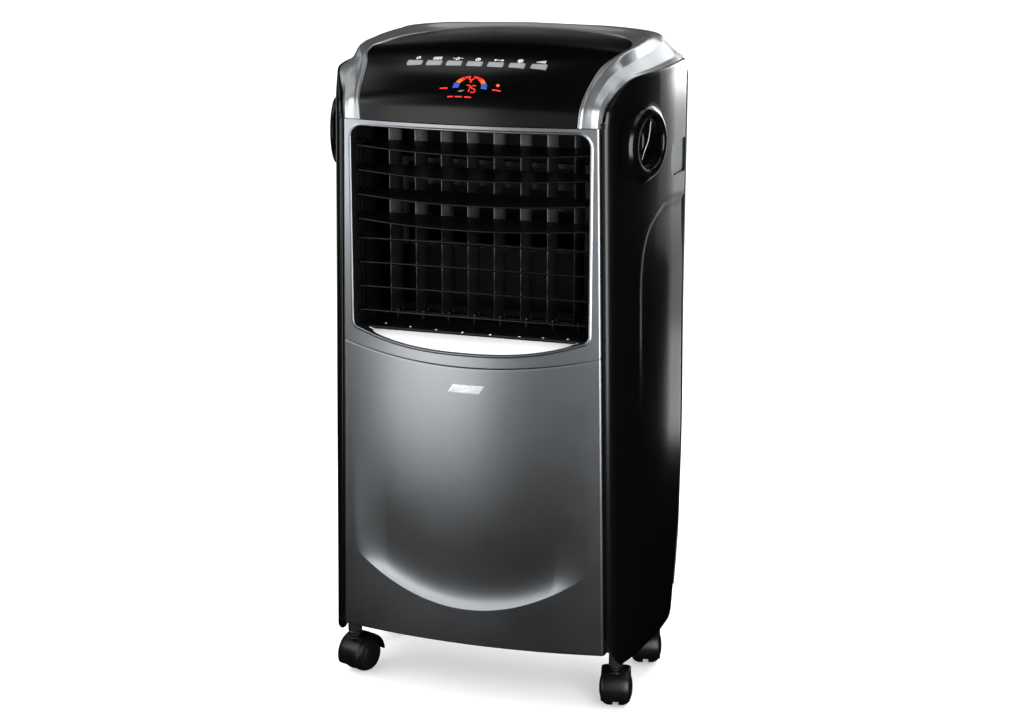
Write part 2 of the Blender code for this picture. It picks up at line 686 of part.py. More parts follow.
ob = finish("blower_housing", bm_prism(blower_outline(2.4), 'Y', Y_B0, Y_B1), M_MATT, smooth=30)
cut(ob, bm_prism(blower_outline(0.0), 'Y', Y_B0 + 2.4, Y_B1 - 2.4), "hollow")
cut(ob, bm_box(-150, 150, Y_B0 - 5, Y_B0 + 3, 506, 752), "outlet")
cut(ob, bm_cyl((0, Y_B1 - 4, WHEEL_Z), (0, Y_B1 + 5, WHEEL_Z), 78, 24), "inlet")
cut(ob, bm_cyl((0, Y_B0 - 5, WHEEL_Z), (0, Y_B0 + 5, WHEEL_Z), 9, 12), "shaft")

# wheel: back plate, hub, front ring and blades
ob = finish("blower_wheel",
            bm_turned([(0.0, 20.0), (11.0, 20.0), (11.0, 3.5), (BLOW_R, 3.5), (BLOW_R, 1.5), (6.0, 1.5),
                       (4.0, 1.5), (4.0, -22.0), (0.0, -22.0)], 24, (0, Y_B0 + 4.0, WHEEL_Z), (0, 1, 0)),
            M_MATT, origin=(0, Y_B0 + 4.0, WHEEL_Z), smooth=30)
blades = bmesh.new()
NB = 12
for i in range(NB):
    a = math.tau * (i + 0.5) / NB
    r = bmesh.ops.create_cube(blades, size=1.0)
    m = Matrix.Translation(v(0, 0, WHEEL_Z)) @ Matrix.Rotation(a, 4, 'Y')
    for p in r["verts"]:
        q = Vector((p.co.x * 2.0 + p.co.z * 9.0, 0, 0))
        q = Vector(((84.0 + p.co.z * 20.0), (Y_B0 + 6.5 + 17.5 + p.co.y * 35.5), p.co.x * 1.6 + p.co.z * 7.0))
        p.co = m @ (Vector((q.x, q.y, q.z)) * MM)
join(ob, blades, "blades")
ring = bm_turned([(BLOW_R, 38.5), (BLOW_R, 35.0), (BLOW_R - 16, 35.0), (BLOW_R - 16, 38.5)], 24,
                 (0, Y_B0 + 4.0, WHEEL_Z), (0, 1, 0))
join(ob, ring, "ring")

finish("fan_motor",
       bm_turned([(0.0, 26.0), (4.6, 26.0), (4.6, 0.0), (38.0, 0.0), (43.0, 5.0), (43.0, 40.0), (36.0, 46.0),
                  (0.0, 46.0)], 20, (0, Y_B0 - 0.6, WHEEL_Z), (0, -1, 0)),
       M_STEEL, smooth=30)

# ------------------------------------------------------------ wet side
ob = finish("cooling_pad", bm_box(-170, 170, 56, 90, 262, 776), M_PAD)
ob = finish("water_distributor", bm_box(-174, 174, 54, 92, 778, 796), M_MATT)
cut(ob, bm_box(-171.5, 171.5, 56.5, 89.5, 781, 800), "trough")
ob = finish("water_tank", bm_box(-158, 158, -70, 104, 100, 236), M_TANK)
cut(ob, bm_box(-155, 155, -67, 100.5, 103, 260), "hollow")
finish("pump", bm_cyl((-120, 50, 103.6), (-120, 50, 158), 24, 16), M_MATT, smooth=40)
boolean(bpy.data.objects["pump"],
        finish("add_pump_spout", bm_cyl((-120, 50, 150), (-120, 50, 172), 5, 12), None, cutter=True), 'UNION')
pipe = bpy.data.curves.new("water_pipe", 'CURVE')
pipe.dimensions = '3D'
pipe.bevel_depth = 4.5 * MM
pipe.bevel_resolution = 1
pipe.use_fill_caps = True
sp = pipe.splines.new('POLY')
route = [(-120, 50, 174), (-120, 50, 196), (-124, 47, 214), (-142, 42, 242), (-168, 38, 252), (-182, 38, 268),
         (-184, 38, 300), (-184, 38, 760), (-183, 41, 790), (-180, 50, 806), (-174, 62, 812), (-160, 72, 812),
         (-150, 73, 806), (-147, 73, 792)]
sp.points.add(len(route) - 1)
for k, p in enumerate(route):
    q = v(*p)
    sp.points[k].co = (q.x, q.y, q.z, 1)
po = bpy.data.objects.new("water_pipe", pipe)
COL.objects.link(po)
pipe.materials.append(material(*M_GREY))

# ------------------------------------------------------------ rear cover
def rear_y(z):
    return Y_REAR + 0.6 + rear_shift(z)


def rear_half(z):
    return side_x(Y_REAR, z) - 0.5


ZR = [68, 76, 88, 104, 130, 165, 200, 260, 330, 420, 520, 700, 827.4]
bm = bmesh.new()
sections = []
for z in ZR:
    h, y0 = rear_half(z), rear_y(z)
    y1 = y0 + REAR_DEPTH
    sections.append([bm.verts.new(v(*p)) for p in
                     [(-h, y0, z), (-h, y1 - 5, z), (-h + 5, y1, z), (h - 5, y1, z), (h, y1 - 5, z), (h, y0, z),
                      (h - 5, y0, z), (-h + 5, y0, z)]])
for a, b in zip(sections, sections[1:]):
    for i in range(8):
        bm.faces.new([a[i], a[(i + 1) % 8], b[(i + 1) % 8], b[i]])
bm.faces.new(sections[0])
bm.faces.new(sections[-1][::-1])
bmesh.ops.recalc_face_normals(bm, faces=bm.faces)
ob = finish("rear_panel", bm, M_MATT, smooth=30)


def rear_block(x0, x1, za, zb, n, deep, proud, y_in=None):
    """Block whose faces follow the rear cover's curve, deep and proud of it."""
    bm = bmesh.new()
    rf, rb = [], []
    for j in range(n + 1):
        z = lerp(za, zb, j / n)
        y = rear_y(z) + proud
        yb = rear_y(z) + deep if y_in is None else y_in
        rf.append([bm.verts.new(v(x0, y, z)), bm.verts.new(v(x1, y, z))])
        rb.append([bm.verts.new(v(x0, yb, z)), bm.verts.new(v(x1, yb, z))])
    for j in range(n):
        a, b, c, d = rf[j], rf[j + 1], rb[j], rb[j + 1]
        bm.faces.new([a[0], a[1], b[1], b[0]])
        bm.faces.new([c[0], d[0], d[1], c[1]])
        bm.faces.new([a[0], b[0], d[0], c[0]])
        bm.faces.new([a[1], c[1], d[1], b[1]])
    bm.faces.new([rf[0][0], rb[0][0], rb[0][1], rf[0][1]])
    bm.faces.new([rf[n][0], rf[n][1], rb[n][1], rb[n][0]])
    bmesh.ops.recalc_face_normals(bm, faces=bm.faces)
    return bm


GRILLE_Z0, GRILLE_Z1 = 320.0, 800.0
TAB_Z0, TAB_Z1 = 685.0, 728.0
cut(ob, rear_block(-240, 240, GRILLE_Z0 - 0.4, GRILLE_Z1 + 0.4, 6, 5.6, 30.0), "grille_seat")
cut(ob, bm_box(-168, 168, 90, 160, 340, 784), "intake")
for sgn in (-1, 1):
    x0, x1 = (198.4, 240) if sgn > 0 else (-240, -198.4)
    cut(ob, bm_box(x0, x1, 90, 160, TAB_Z0 - 0.6, TAB_Z1 + 0.6), "tab_%s" % ("r" if sgn > 0 else "l"))
cut(ob, bm_box(-159.5, 159.5, 60, 160, 98.5, 238), "tank")
GLAND = (180.0, 150.0)
lean = (rear_y(GLAND[1] + 1) - rear_y(GLAND[1] - 1)) / 2
G_AX = Vector((0, 1, -lean)).normalized()
G_C = (GLAND[0], rear_y(GLAND[1]) + REAR_DEPTH, GLAND[1])
cut(ob, bm_cyl(along(G_C, G_AX, -30), along(G_C, G_AX, 30), 8.4, 12), "gland")
LATCH_Z = 250.0
pocket = lambda: bm_box(-27, 27, rear_y(250) + REAR_DEPTH - 7.0, 170, 222, 260)
cut(ob, pocket(), "latch")

# dust filter: a full-width grille frame, with a grey finger tab at each side edge
ob = finish("filter_frame", rear_block(-206.5, 206.5, GRILLE_Z0, GRILLE_Z1, 6, 6.0, REAR_DEPTH), M_GREY)
bars = bmesh.new()
NX, NZ = 4, 8
for i in range(NX):
    for j in range(NZ):
        wx, wz = 336.0 / NX / 2, 444.0 / NZ / 2
        cx = -168 + wx * (2 * i + 1)
        cz = 340 + wz * (2 * j + 1)
        bm_box(cx - wx + 2.5, cx + wx - 2.5, 90, 150, cz - wz + 2.5, cz + wz - 2.5, bars)
cut(ob, bars, "windows")
for sgn in (-1, 1):
    tab = bm_prism([(sgn * 199.0, Y_REAR + 9.0), (sgn * 199.0, 100.0), (sgn * 207.5, 92.0), (sgn * 207.5, 35.0),
                    (sgn * 212.6, 35.0), (sgn * 213.0, 96.0), (sgn * 209.0, Y_REAR + 9.0)], 'Z', TAB_Z0, TAB_Z1)
    join(ob, tab, "tab_%s" % ("r" if sgn > 0 else "l"))

# tank face, closing the lower rear opening, and its turn latch
tank = bpy.data.objects["water_tank"]
join(tank, rear_block(-159.0, 159.0, 99.0, 237.5, 6, 0.0, REAR_DEPTH, 100.8), "face")
cut(tank, bm_box(-45, 45, 112, 160, 206, 228), "grip")
cut(tank, pocket(), "latch")
LATCH_Y = rear_y(250) + REAR_DEPTH - 6.6
finish("tank_latch", bm_prism([(23, 246), (23, 254), (6, 256.5), (0, 257.5), (-5, 255.5), (-7.5, 250), (-5, 244.5), (0, 242.5),
                               (6, 243.5)], 'Y', LATCH_Y, LATCH_Y + 5.6), M_GREY, origin=(0, LATCH_Y, LATCH_Z))
finish("cord_gland", bm_turned([(0.0, -9.0), (8.0, -9.0), (8.0, 0.6), (11.0, 0.6), (11.0, 3.0), (7.0, 8.0), (0.0, 8.0)],
                               12, G_C, G_AX), M_RUBBER, smooth=40)

# ------------------------------------------------------------ base
TRAY_Z = 82.0            # its underside
outline = []
for sgn in (-1, 1):
    ys = [-98, -84, -60, -20, 20, 60, 76]
    side = [(sgn * (side_x(y, 76) - 4.5), y) for y in ys]
    outline += side if sgn > 0 else side[::-1]
front = [(x, min(-98.0, front_y(x, 100) + 34.0)) for x in (-120, -90, -60, -30, 0, 30, 60, 90, 120)]
outline = outline[:7] + front + outline[7:]
ob = finish("base_tray", bm_prism(outline, 'Z', TRAY_Z, 98.0), M_MATT)
inner = []
for x, y in outline:
    inner.append((x * 0.965, (y + 16) * 0.94 - 16))
cut(ob, bm_prism(inner, 'Z', TRAY_Z + 3.0, 110.0), "tray")
boss = bmesh.new()
bore = bmesh.new()
for cx in (-CASTER_X, CASTER_X):
    for cy in (CASTER_YF, CASTER_YR):
        bm_cyl((cx, cy, 60.6), (cx, cy, 90.0), 9.5, 16, boss)
        bm_cyl((cx, cy, 50.0), (cx, cy, 86.0), 5.4, 12, bore)
join(ob, boss, "bosses")
cut(ob, bore, "bores")

# ------------------------------------------------------------ casters
CASTERS = [("fl", -CASTER_X, CASTER_YF, 18.0), ("fr", CASTER_X, CASTER_YF, -14.0),
           ("rl", -CASTER_X, CASTER_YR, 10.0), ("rr", CASTER_X, CASTER_YR, -17.0)]
for tag, cx, cy, phi in CASTERS:
    ph = math.radians(phi)
    d = Vector((math.sin(ph), math.cos(ph), 0))
    ax = Vector((math.cos(ph), -math.sin(ph), 0))
    wc = (cx + TRAIL * d.x, cy + TRAIL * d.y, WHEEL_R)
    # hood: a barrel over both wheels, opened below, with a web between them
    ob = finish("caster_%s_hood" % tag,
                bm_turned([(0.0, 20.0), (20.0, 20.0), (27.0, 16.5), (29.0, 9.0), (29.0, -9.0), (27.0, -16.5),
                           (20.0, -20.0), (0.0, -20.0)][::-1], 20, wc, ax),
                M_RUBBER, origin=(cx, cy, 40.0), smooth=40)
    low = bm_box(-60, 60, -60, 60, -60, 60)
    bmesh.ops.translate(low, verts=low.verts, vec=-v(0, 0, 0))
    m = Matrix.Translation(v(wc[0], wc[1], 0)) @ Matrix.Rotation(-ph, 4, 'Z') @ Matrix.Rotation(math.radians(12), 4, 'X')
    bmesh.ops.transform(low, matrix=m @ Matrix.Translation(Vector((0, 0, -0.060 + 0.019))), verts=low.verts)
    cut(ob, low, "underside")
    join(ob, bm_cyl(along(wc, ax, -10), along(wc, ax, 10), 9.0, 16), "axle_boss")
    join(ob, bm_cyl((cx, cy, 42.0), (cx, cy, 60.0), 9.0, 16), "collar")
    join(ob, bm_cyl((cx, cy, 52.0), (cx, cy, 84.0), 4.9, 12), "stem")
    for s in (-1, 1):
        cut(ob, bm_cyl(along(wc, ax, s * 3.2), along(wc, ax, s * 30.0), 25.5, 20), "wheel_%s" % ("p" if s > 0 else "m"))
    cut(ob, bm_cyl(along(wc, ax, -10), along(wc, ax, 10), 3.4, 12), "axle_hole")
    finish("caster_%s_wheels" % tag,
           bm_turned([(0.0, 22.0), (14.0, 20.4), (21.5, 16.2), (WHEEL_R, 9.0), (WHEEL_R, 4.6), (22.5, 3.8), (3.0, 3.8),
                      (3.0, -3.8), (22.5, -3.8), (WHEEL_R, -4.6), (WHEEL_R, -9.0), (21.5, -16.2), (14.0, -20.4),
                      (0.0, -22.0)][::-1], 18, wc, ax),
           M_RUBBER, origin=wc, smooth=40)
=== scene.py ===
"""Evaporative air cooler on casters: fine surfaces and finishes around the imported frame."""
import bpy
import bmesh
import math
import json
import numpy as np
from mathutils import Vector, Matrix

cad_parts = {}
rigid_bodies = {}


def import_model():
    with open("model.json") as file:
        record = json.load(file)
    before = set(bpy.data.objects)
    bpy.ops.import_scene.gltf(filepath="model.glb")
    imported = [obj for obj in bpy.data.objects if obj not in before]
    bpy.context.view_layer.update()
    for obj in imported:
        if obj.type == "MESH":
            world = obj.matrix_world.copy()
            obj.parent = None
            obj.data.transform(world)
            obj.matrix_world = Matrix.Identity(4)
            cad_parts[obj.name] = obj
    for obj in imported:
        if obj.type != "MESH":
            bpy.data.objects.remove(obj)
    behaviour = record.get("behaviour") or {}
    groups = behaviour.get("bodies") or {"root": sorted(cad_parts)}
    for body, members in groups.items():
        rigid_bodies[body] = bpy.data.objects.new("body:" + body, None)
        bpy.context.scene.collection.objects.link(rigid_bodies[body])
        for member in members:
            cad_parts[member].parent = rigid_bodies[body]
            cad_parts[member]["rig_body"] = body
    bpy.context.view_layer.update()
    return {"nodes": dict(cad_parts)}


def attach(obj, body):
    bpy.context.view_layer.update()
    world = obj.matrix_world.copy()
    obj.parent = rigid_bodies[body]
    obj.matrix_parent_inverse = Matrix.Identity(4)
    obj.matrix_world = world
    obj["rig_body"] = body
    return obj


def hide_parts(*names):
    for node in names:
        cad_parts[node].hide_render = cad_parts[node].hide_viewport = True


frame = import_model()
SCENE = bpy.context.scene
COL = SCENE.collection
Y_SHIFT = 7.2            # the shape rules below use a frame this far from the row frame
MM = 0.001


# ============================================================ small helpers
def lerp(a, b, t):
    return a + (b - a) * t


def clamp(t, lo=0.0, hi=1.0):
    return max(lo, min(hi, t))


def sstep(a, b, t):
    t = clamp((t - a) / (b - a))
    return t * t * (3 - 2 * t)


def spline(ctrl, t):
    """Catmull-Rom through control points, t from 0 to len-1."""
    n = len(ctrl) - 1
    i = int(clamp(math.floor(t), 0, n - 1))
    f = t - i
    p1, p2 = ctrl[i], ctrl[i + 1]
    p0 = ctrl[i - 1] if i > 0 else tuple(2 * a - b for a, b in zip(p1, p2))
    p3 = ctrl[i + 2] if i + 2 <= n else tuple(2 * b - a for a, b in zip(p1, p2))
    return tuple(0.5 * (2 * b + (c - a) * f + (2 * a - 5 * b + 4 * c - d) * f * f
                        + (3 * b - a - 3 * c + d) * f ** 3)
                 for a, b, c, d in zip(p0, p1, p2, p3))


def W(p):
    """Rule frame, millimetres, to the row frame, metres."""
    return Vector((p[0] * MM, (p[1] + Y_SHIFT) * MM, p[2] * MM))


def span(a, b, n):
    return [lerp(a, b, i / n) for i in range(n + 1)]


# ============================================================ body shape rules
Z_SEAM, Z_FRONT_BOTTOM = 764.0, 88.5
HALF_W_TOP, HALF_W_BOT = 168.0, 181.0
Y_FRONT, BULGE = -127.0, 20.0
Z_SIDE_BOTTOM = 66.0
Y_REAR, REAR_DEPTH = 112.0, 12.0
OPEN_HALF, OPEN_TOP = 156.5, 755.5
LOUVRES, LOUVRE_TOP, LOUVRE_PITCH, LOUVRE_Y, LOUVRE_TILT = 8, 732.3, 31.1, -105.0, 14.0
VANES, VANE_PITCH, VANE_Y, VANE_CRANK = 8, 35.3, -62.0, 18.0
LOUVRE_CRANK = 8.0
HANDLE_Y, HANDLE_Z = -51.0, 738.0
CASTER_X, CASTER_YF, CASTER_YR, WHEEL_R, TRAIL = 184.5, -82.0, 70.0, 24.0, 12.0
BUTTONS, BUTTON_PITCH = 7, 27.0

COVER = [
    ((141, -134, 764.4), (149, -133, 764.4), (157, -131, 764.4), (164.5, -128.5, 764.4), (168, -124.5, 764.4)),
    ((143, -131, 787), (151, -130.5, 787.5), (158.5, -128, 787), (166, -125, 785.5), (169.5, -122, 784)),
    ((145.5, -119, 803), (154, -117.5, 805.5), (162, -115, 804.5), (169.5, -114, 799), (173.0, -112, 796)),
    ((148.5, -100, 818), (158, -99.5, 823), (169, -99, 820.5), (177.5, -99.5, 812), (181.0, -100, 809)),
    ((153, -80, 831), (164, -79.5, 835.5), (176.5, -79, 829.5), (187.0, -80, 822), (190.5, -81, 819.5)),
    ((161, -60, 840), (175, -59, 847.5), (181, -58, 834.5), (193.0, -58, 825), (196.8, -59, 823)),
    ((166, -30, 845.5), (179.5, -30, 853), (184.5, -30, 838.5), (198.0, -30, 826.5), (202.4, -30, 824.8)),
    ((166, 0, 847), (180.5, 0, 856), (186, 2, 841), (201.5, 4, 828), (206.8, 5, 826)),
    ((161, 35, 850), (179, 38, 860), (187, 42, 844.5), (203.0, 46, 830), (209.2, 48, 827.5)),
    ((150, 66, 853), (173, 76, 862.5), (187, 87, 851), (201.5, 90, 834), (208.5, 94, 829)),
    ((128, 88, 856), (150, 102, 865.5), (174, 108, 861), (193, 115, 840.5), (202, 119, 832.5)),
    ((95, 97, 859), (105, 107, 868), (120, 115, 866.5), (130, 120, 837), (135, 123, 831.5)),
    ((50, 102, 861.5), (53, 110, 869), (58, 117, 868), (62, 121, 836.5), (64, 123, 832)),
    ((0, 103.5, 862.5), (0, 111, 870), (0, 117.5, 869), (0, 121, 837), (0, 123, 832)),
]
RIM = [spline([row[4] for row in COVER], k / 2.0) for k in range(21)]
PANEL_MID = [(0, -146.6, 764.4), (0, -145.5, 787), (0, -138, 806), (0, -121, 823.5),
             (0, -100, 836.5), (0, -75, 846), (0, -40, 853.5), (0, 0, 858),
             (0, 35, 860.5), (0, 63, 861.5), (0, 85, 862), (0, 95, 862.2),
             (0, 101, 862.4), (0, 103.5, 862.5)]


def half_w(z):
    return HALF_W_BOT - (HALF_W_BOT - HALF_W_TOP) * (z - 89.0) / 674.0


def front_y(x, z):
    return Y_FRONT - BULGE * (1 - min(1.0, (x / half_w(z)) ** 2))


def split_z(x):
    return 459.5 + 19.5 * (x / 175.0) ** 2


def arc_z(x):
    return 478.0 + 22.0 * (abs(x) / 152.0) ** 2.5


def smile_z(x):
    return 137.0 + 0.0023 * x * x


def scoop(x, z):
    d = z - smile_z(x)
    if d <= 0:
        return 0.0
    side = clamp((160.0 - abs(x)) / 45.0) ** 1.2
    return 6.0 * (1 - math.exp(-d / 15.0)) * math.exp(-(d / 95.0) ** 2) * side


def rim(y):
    if y <= RIM[0][1]:
        return RIM[0][0], RIM[0][2]
    for p, q in zip(RIM, RIM[1:]):
        if y <= q[1]:
            t = (y - p[1]) / (q[1] - p[1])
            return lerp(p[0], q[0], t), lerp(p[2], q[2], t)
    return RIM[-1][0], RIM[-1][2]


def side_top(y):
    return min(829.0, rim(y)[1])


def key_y(x):
    return -104.7 + 5.9 * (x / 81.0) ** 2


def side_bottom(y):
    t = clamp((y + 125.0) / 37.0)
    return 112.0 - (112.0 - Z_SIDE_BOTTOM) * math.sqrt(max(0.0, 1 - (1 - t) ** 2))


def rear_shift(z):
    return 8.0 * math.exp(-((z - 330.0) / 120.0) ** 2) - 34.0 * clamp((200.0 - z) / 140.0) ** 1.5


def side_x(y, z):
    t = y + 125.0
    x = 184.5 + 32.0 * (1 - (1 - min(t, 175.0) / 175.0) ** 2)
    if t < 14.0:
        x -= 9.5 * (1 - math.sqrt(max(0.0, 1 - (1 - max(t, 0) / 14.0) ** 2)))
    if y > 98.0:
        x -= 8.0 * (1 - math.sqrt(max(0.0, 1 - ((y - 98.0) / 14.0) ** 2)))
    x += (half_w(z) - 173.5) * clamp(1 - t / 110.0)
    if z < 85.0:
        x -= 9.0 * (1 - math.sqrt(max(0.0, 1 - ((85.0 - z) / 21.0) ** 2)))
    rx, top = rim(y)
    if z > top - 14.0:
        k = clamp((z - top + 14.0) / 14.0)
        x -= max(0.0, x - rx - 3.4) * (1 - math.sqrt(1 - k * k))
    return x


def rear_y(z):
    return Y_REAR + 0.6 + rear_shift(z)


def panel_point(t, u):
    a = spline([row[0] for row in COVER], t)
    m = spline(PANEL_MID, t)
    k = max(0.0, (a[0] - 0.6)) / a[0] if a[0] > 1 else 0.0
    u = u * k
    y = lerp(m[1], a[1], u * u) - 0.9 * clamp((t - 8.0) / 2.0)
    return (a[0] * u, y, lerp(m[2], a[2], u * u))


def panel_at(x, y):
    lo, hi = 0.0, 12.0
    for _ in range(40):
        t = (lo + hi) / 2
        a = spline([row[0] for row in COVER], t)
        m = spline(PANEL_MID, t)
        u = x / max(a[0], 1.0)
        if lerp(m[1], a[1], u * u) < y:
            lo = t
        else:
            hi = t
    return lerp(m[2], a[2], u * u), t


# ============================================================ mesh helpers
def new_object(name, me, mat, body, replaces=(), angle=35.0, smooth=True):
    ob = bpy.data.objects.new(name, me)
    COL.objects.link(ob)
    me.materials.clear()
    me.materials.append(mat)
    if smooth:
        me.shade_smooth()
        me.set_sharp_from_angle(angle=math.radians(angle))
    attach(ob, body)
    if replaces:
        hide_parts(*([replaces] if isinstance(replaces, str) else replaces))
    return ob


def grid_bm(rows, inside=None, loop=False, merge=2e-5):
    """Quads through rows of points (rule frame).  Faces look away from inside."""
    bm = bmesh.new()
    vv = [[bm.verts.new(W(p)) for p in row] for row in rows]
    for a, b in zip(vv, vv[1:]):
        n = len(a)
        for i in range(n if loop else n - 1):
            j = (i + 1) % n
            bm.faces.new((a[i], a[j], b[j], b[i]))
    if merge:
        bmesh.ops.remove_doubles(bm, verts=bm.verts, dist=merge)
    orient(bm, inside)
    return bm


def orient(bm, inside=None):
    if inside is None:
        bmesh.ops.recalc_face_normals(bm, faces=bm.faces)
        return bm
    c = W(inside)
    s = 0.0
    for f in bm.faces:
        f.normal_update()
        s += f.normal.dot(f.calc_center_median() - c) * f.calc_area()
    if s < 0:
        bmesh.ops.reverse_faces(bm, faces=bm.faces)
    return bm


def to_mesh(bm, name):
    me = bpy.data.meshes.new(name)
    bm.to_mesh(me)
    bm.free()
    return me


def bake(ob):
    """Put the result of the modifiers into the mesh."""
    bpy.context.view_layer.update()
    dg = bpy.context.evaluated_depsgraph_get()
    me = bpy.data.meshes.new_from_object(ob.evaluated_get(dg))
    ob.modifiers.clear()
    old = ob.data
    ob.data = me
    bpy.data.meshes.remove(old)
    return ob


def temp_object(bm):
    me = to_mesh(bm, "tmp")
    ob = bpy.data.objects.new("tmp", me)
    COL.objects.link(ob)
    return ob


def drop(ob):
    me = ob.data
    bpy.data.objects.remove(ob)
    bpy.data.meshes.remove(me)


def process(bm, solid=0.0, bevel=0.0, segments=2, cutters=(), angle=30.0, even=False):
    """Solidify, cut and bevel a bmesh; gives a mesh."""
    ob = temp_object(bm)
    junk = []
    if solid:
        m = ob.modifiers.new("wall", 'SOLIDIFY')
        m.thickness = solid * MM
        m.offset = -1.0
        m.use_even_offset = even
    for c in cutters:
        co = temp_object(c)
        junk.append(co)
        m = ob.modifiers.new("cut", 'BOOLEAN')
        m.operation = 'DIFFERENCE'
        m.solver = 'EXACT'
        m.object = co
    if bevel:
        m = ob.modifiers.new("edge", 'BEVEL')
        m.width = bevel * MM
        m.segments = segments
        m.limit_method = 'ANGLE'
        m.angle_limit = math.radians(angle)
        m.use_clamp_overlap = True
        m.miter_outer = 'MITER_ARC'
    bake(ob)
    me = ob.data
    bpy.data.objects.remove(ob)
    for j in junk:
        drop(j)
    return me


def box_bm(x0, x1, y0, y1, z0, z1, bm=None):
    bm = bm or bmesh.new()
    r = bmesh.ops.create_cube(bm, size=1.0)
    a, b = W((x0, y0, z0)), W((x1, y1, z1))
    for p in r["verts"]:
        p.co = Vector((a.x + (p.co.x + 0.5) * (b.x - a.x),
                       a.y + (p.co.y + 0.5) * (b.y - a.y),
                       a.z + (p.co.z + 0.5) * (b.z - a.z)))
    return bm


def soft_box(x0, x1, y0, y1, z0, z1, r=0.8, seg=2, bm=None):
    """A block with rounded edges."""
    t = box_bm(x0, x1, y0, y1, z0, z1)
    bmesh.ops.bevel(t, geom=list(t.edges), offset=r * MM, segments=seg, profile=0.5, affect='EDGES')
    if bm is None:
        return t
    add_bm(bm, t)
    return bm


def add_bm(bm, other, matrix=None):
    """Append another bmesh (and free it)."""
    me = bpy.data.meshes.new("t")
    if matrix is not None:
        bmesh.ops.transform(other, matrix=matrix, verts=other.verts)
    other.to_mesh(me)
    other.free()
    bm.from_mesh(me)
    bpy.data.meshes.remove(me)
    return bm


def turned(profile, seg, centre, axis, bm=None, start=0.0, sweep=math.tau):
    """Spin (radius, height) points about an axis."""
    rot = Vector((0, 0, 1)).rotation_difference(Vector(axis).normalized()).to_matrix()
    c = W(centre)
    t = bmesh.new()
    full = abs(sweep - math.tau) < 1e-6
    rings = []
    for r, h in profile:
        if r < 1e-6:
            rings.append([t.verts.new(c + rot @ Vector((0, 0, h * MM)))])
            continue
        ring = []
        for i in range(seg if full else seg + 1):
            a = start + sweep * i / seg
            ring.append(t.verts.new(c + rot @ (Vector((r * math.cos(a), r * math.sin(a), h)) * MM)))
        rings.append(ring)
    for a, b in zip(rings, rings[1:]):
        n = max(len(a), len(b))
        m = n if full else n - 1
        for i in range(m):
            j = (i + 1) % n
            if len(a) == 1 and len(b) == 1:
                continue
            if len(a) == 1:
                t.faces.new((a[0], b[i], b[j]))
            elif len(b) == 1:
                t.faces.new((a[i], b[0], a[j]))
            else:
                t.faces.new((a[i], b[i], b[j], a[j]))
    bmesh.ops.recalc_face_normals(t, faces=t.faces)
    if bm is None:
        return t
    return add_bm(bm, t)


def rod(p0, p1, r, seg=16, bm=None, ease=0.25):
    """Round bar with eased ends between two points of the rule frame."""
    d = Vector(p1) - Vector(p0)
    h = d.length
    e = min(ease, r * 0.5)
    prof = [(0.0, 0.0), (r - e, 0.0), (r - e * 0.3, e * 0.3), (r, e), (r, h - e), (r - e * 0.3, h - e * 0.3), (r - e, h), (0.0, h)]
    return turned(prof, seg, p0, d, bm)


def prism_bm(outline, axis, lo, hi, bm=None):
    bm = bm or bmesh.new()

    def place(p, h):
        if axis == 'Y':
            return W((p[0], h, p[1]))
        if axis == 'Z':
            return W((p[0], p[1], h))
        return W((h, p[0], p[1]))
    a = [bm.verts.new(place(p, lo)) for p in outline]
    b = [bm.verts.new(place(p, hi)) for p in outline]
    n = len(a)
    fs = [bm.faces.new(a), bm.faces.new(b[::-1])]
    for i in range(n):
        fs.append(bm.faces.new((a[i], b[i], b[(i + 1) % n], a[(i + 1) % n])))
    bmesh.ops.recalc_face_normals(bm, faces=fs)
    return bm


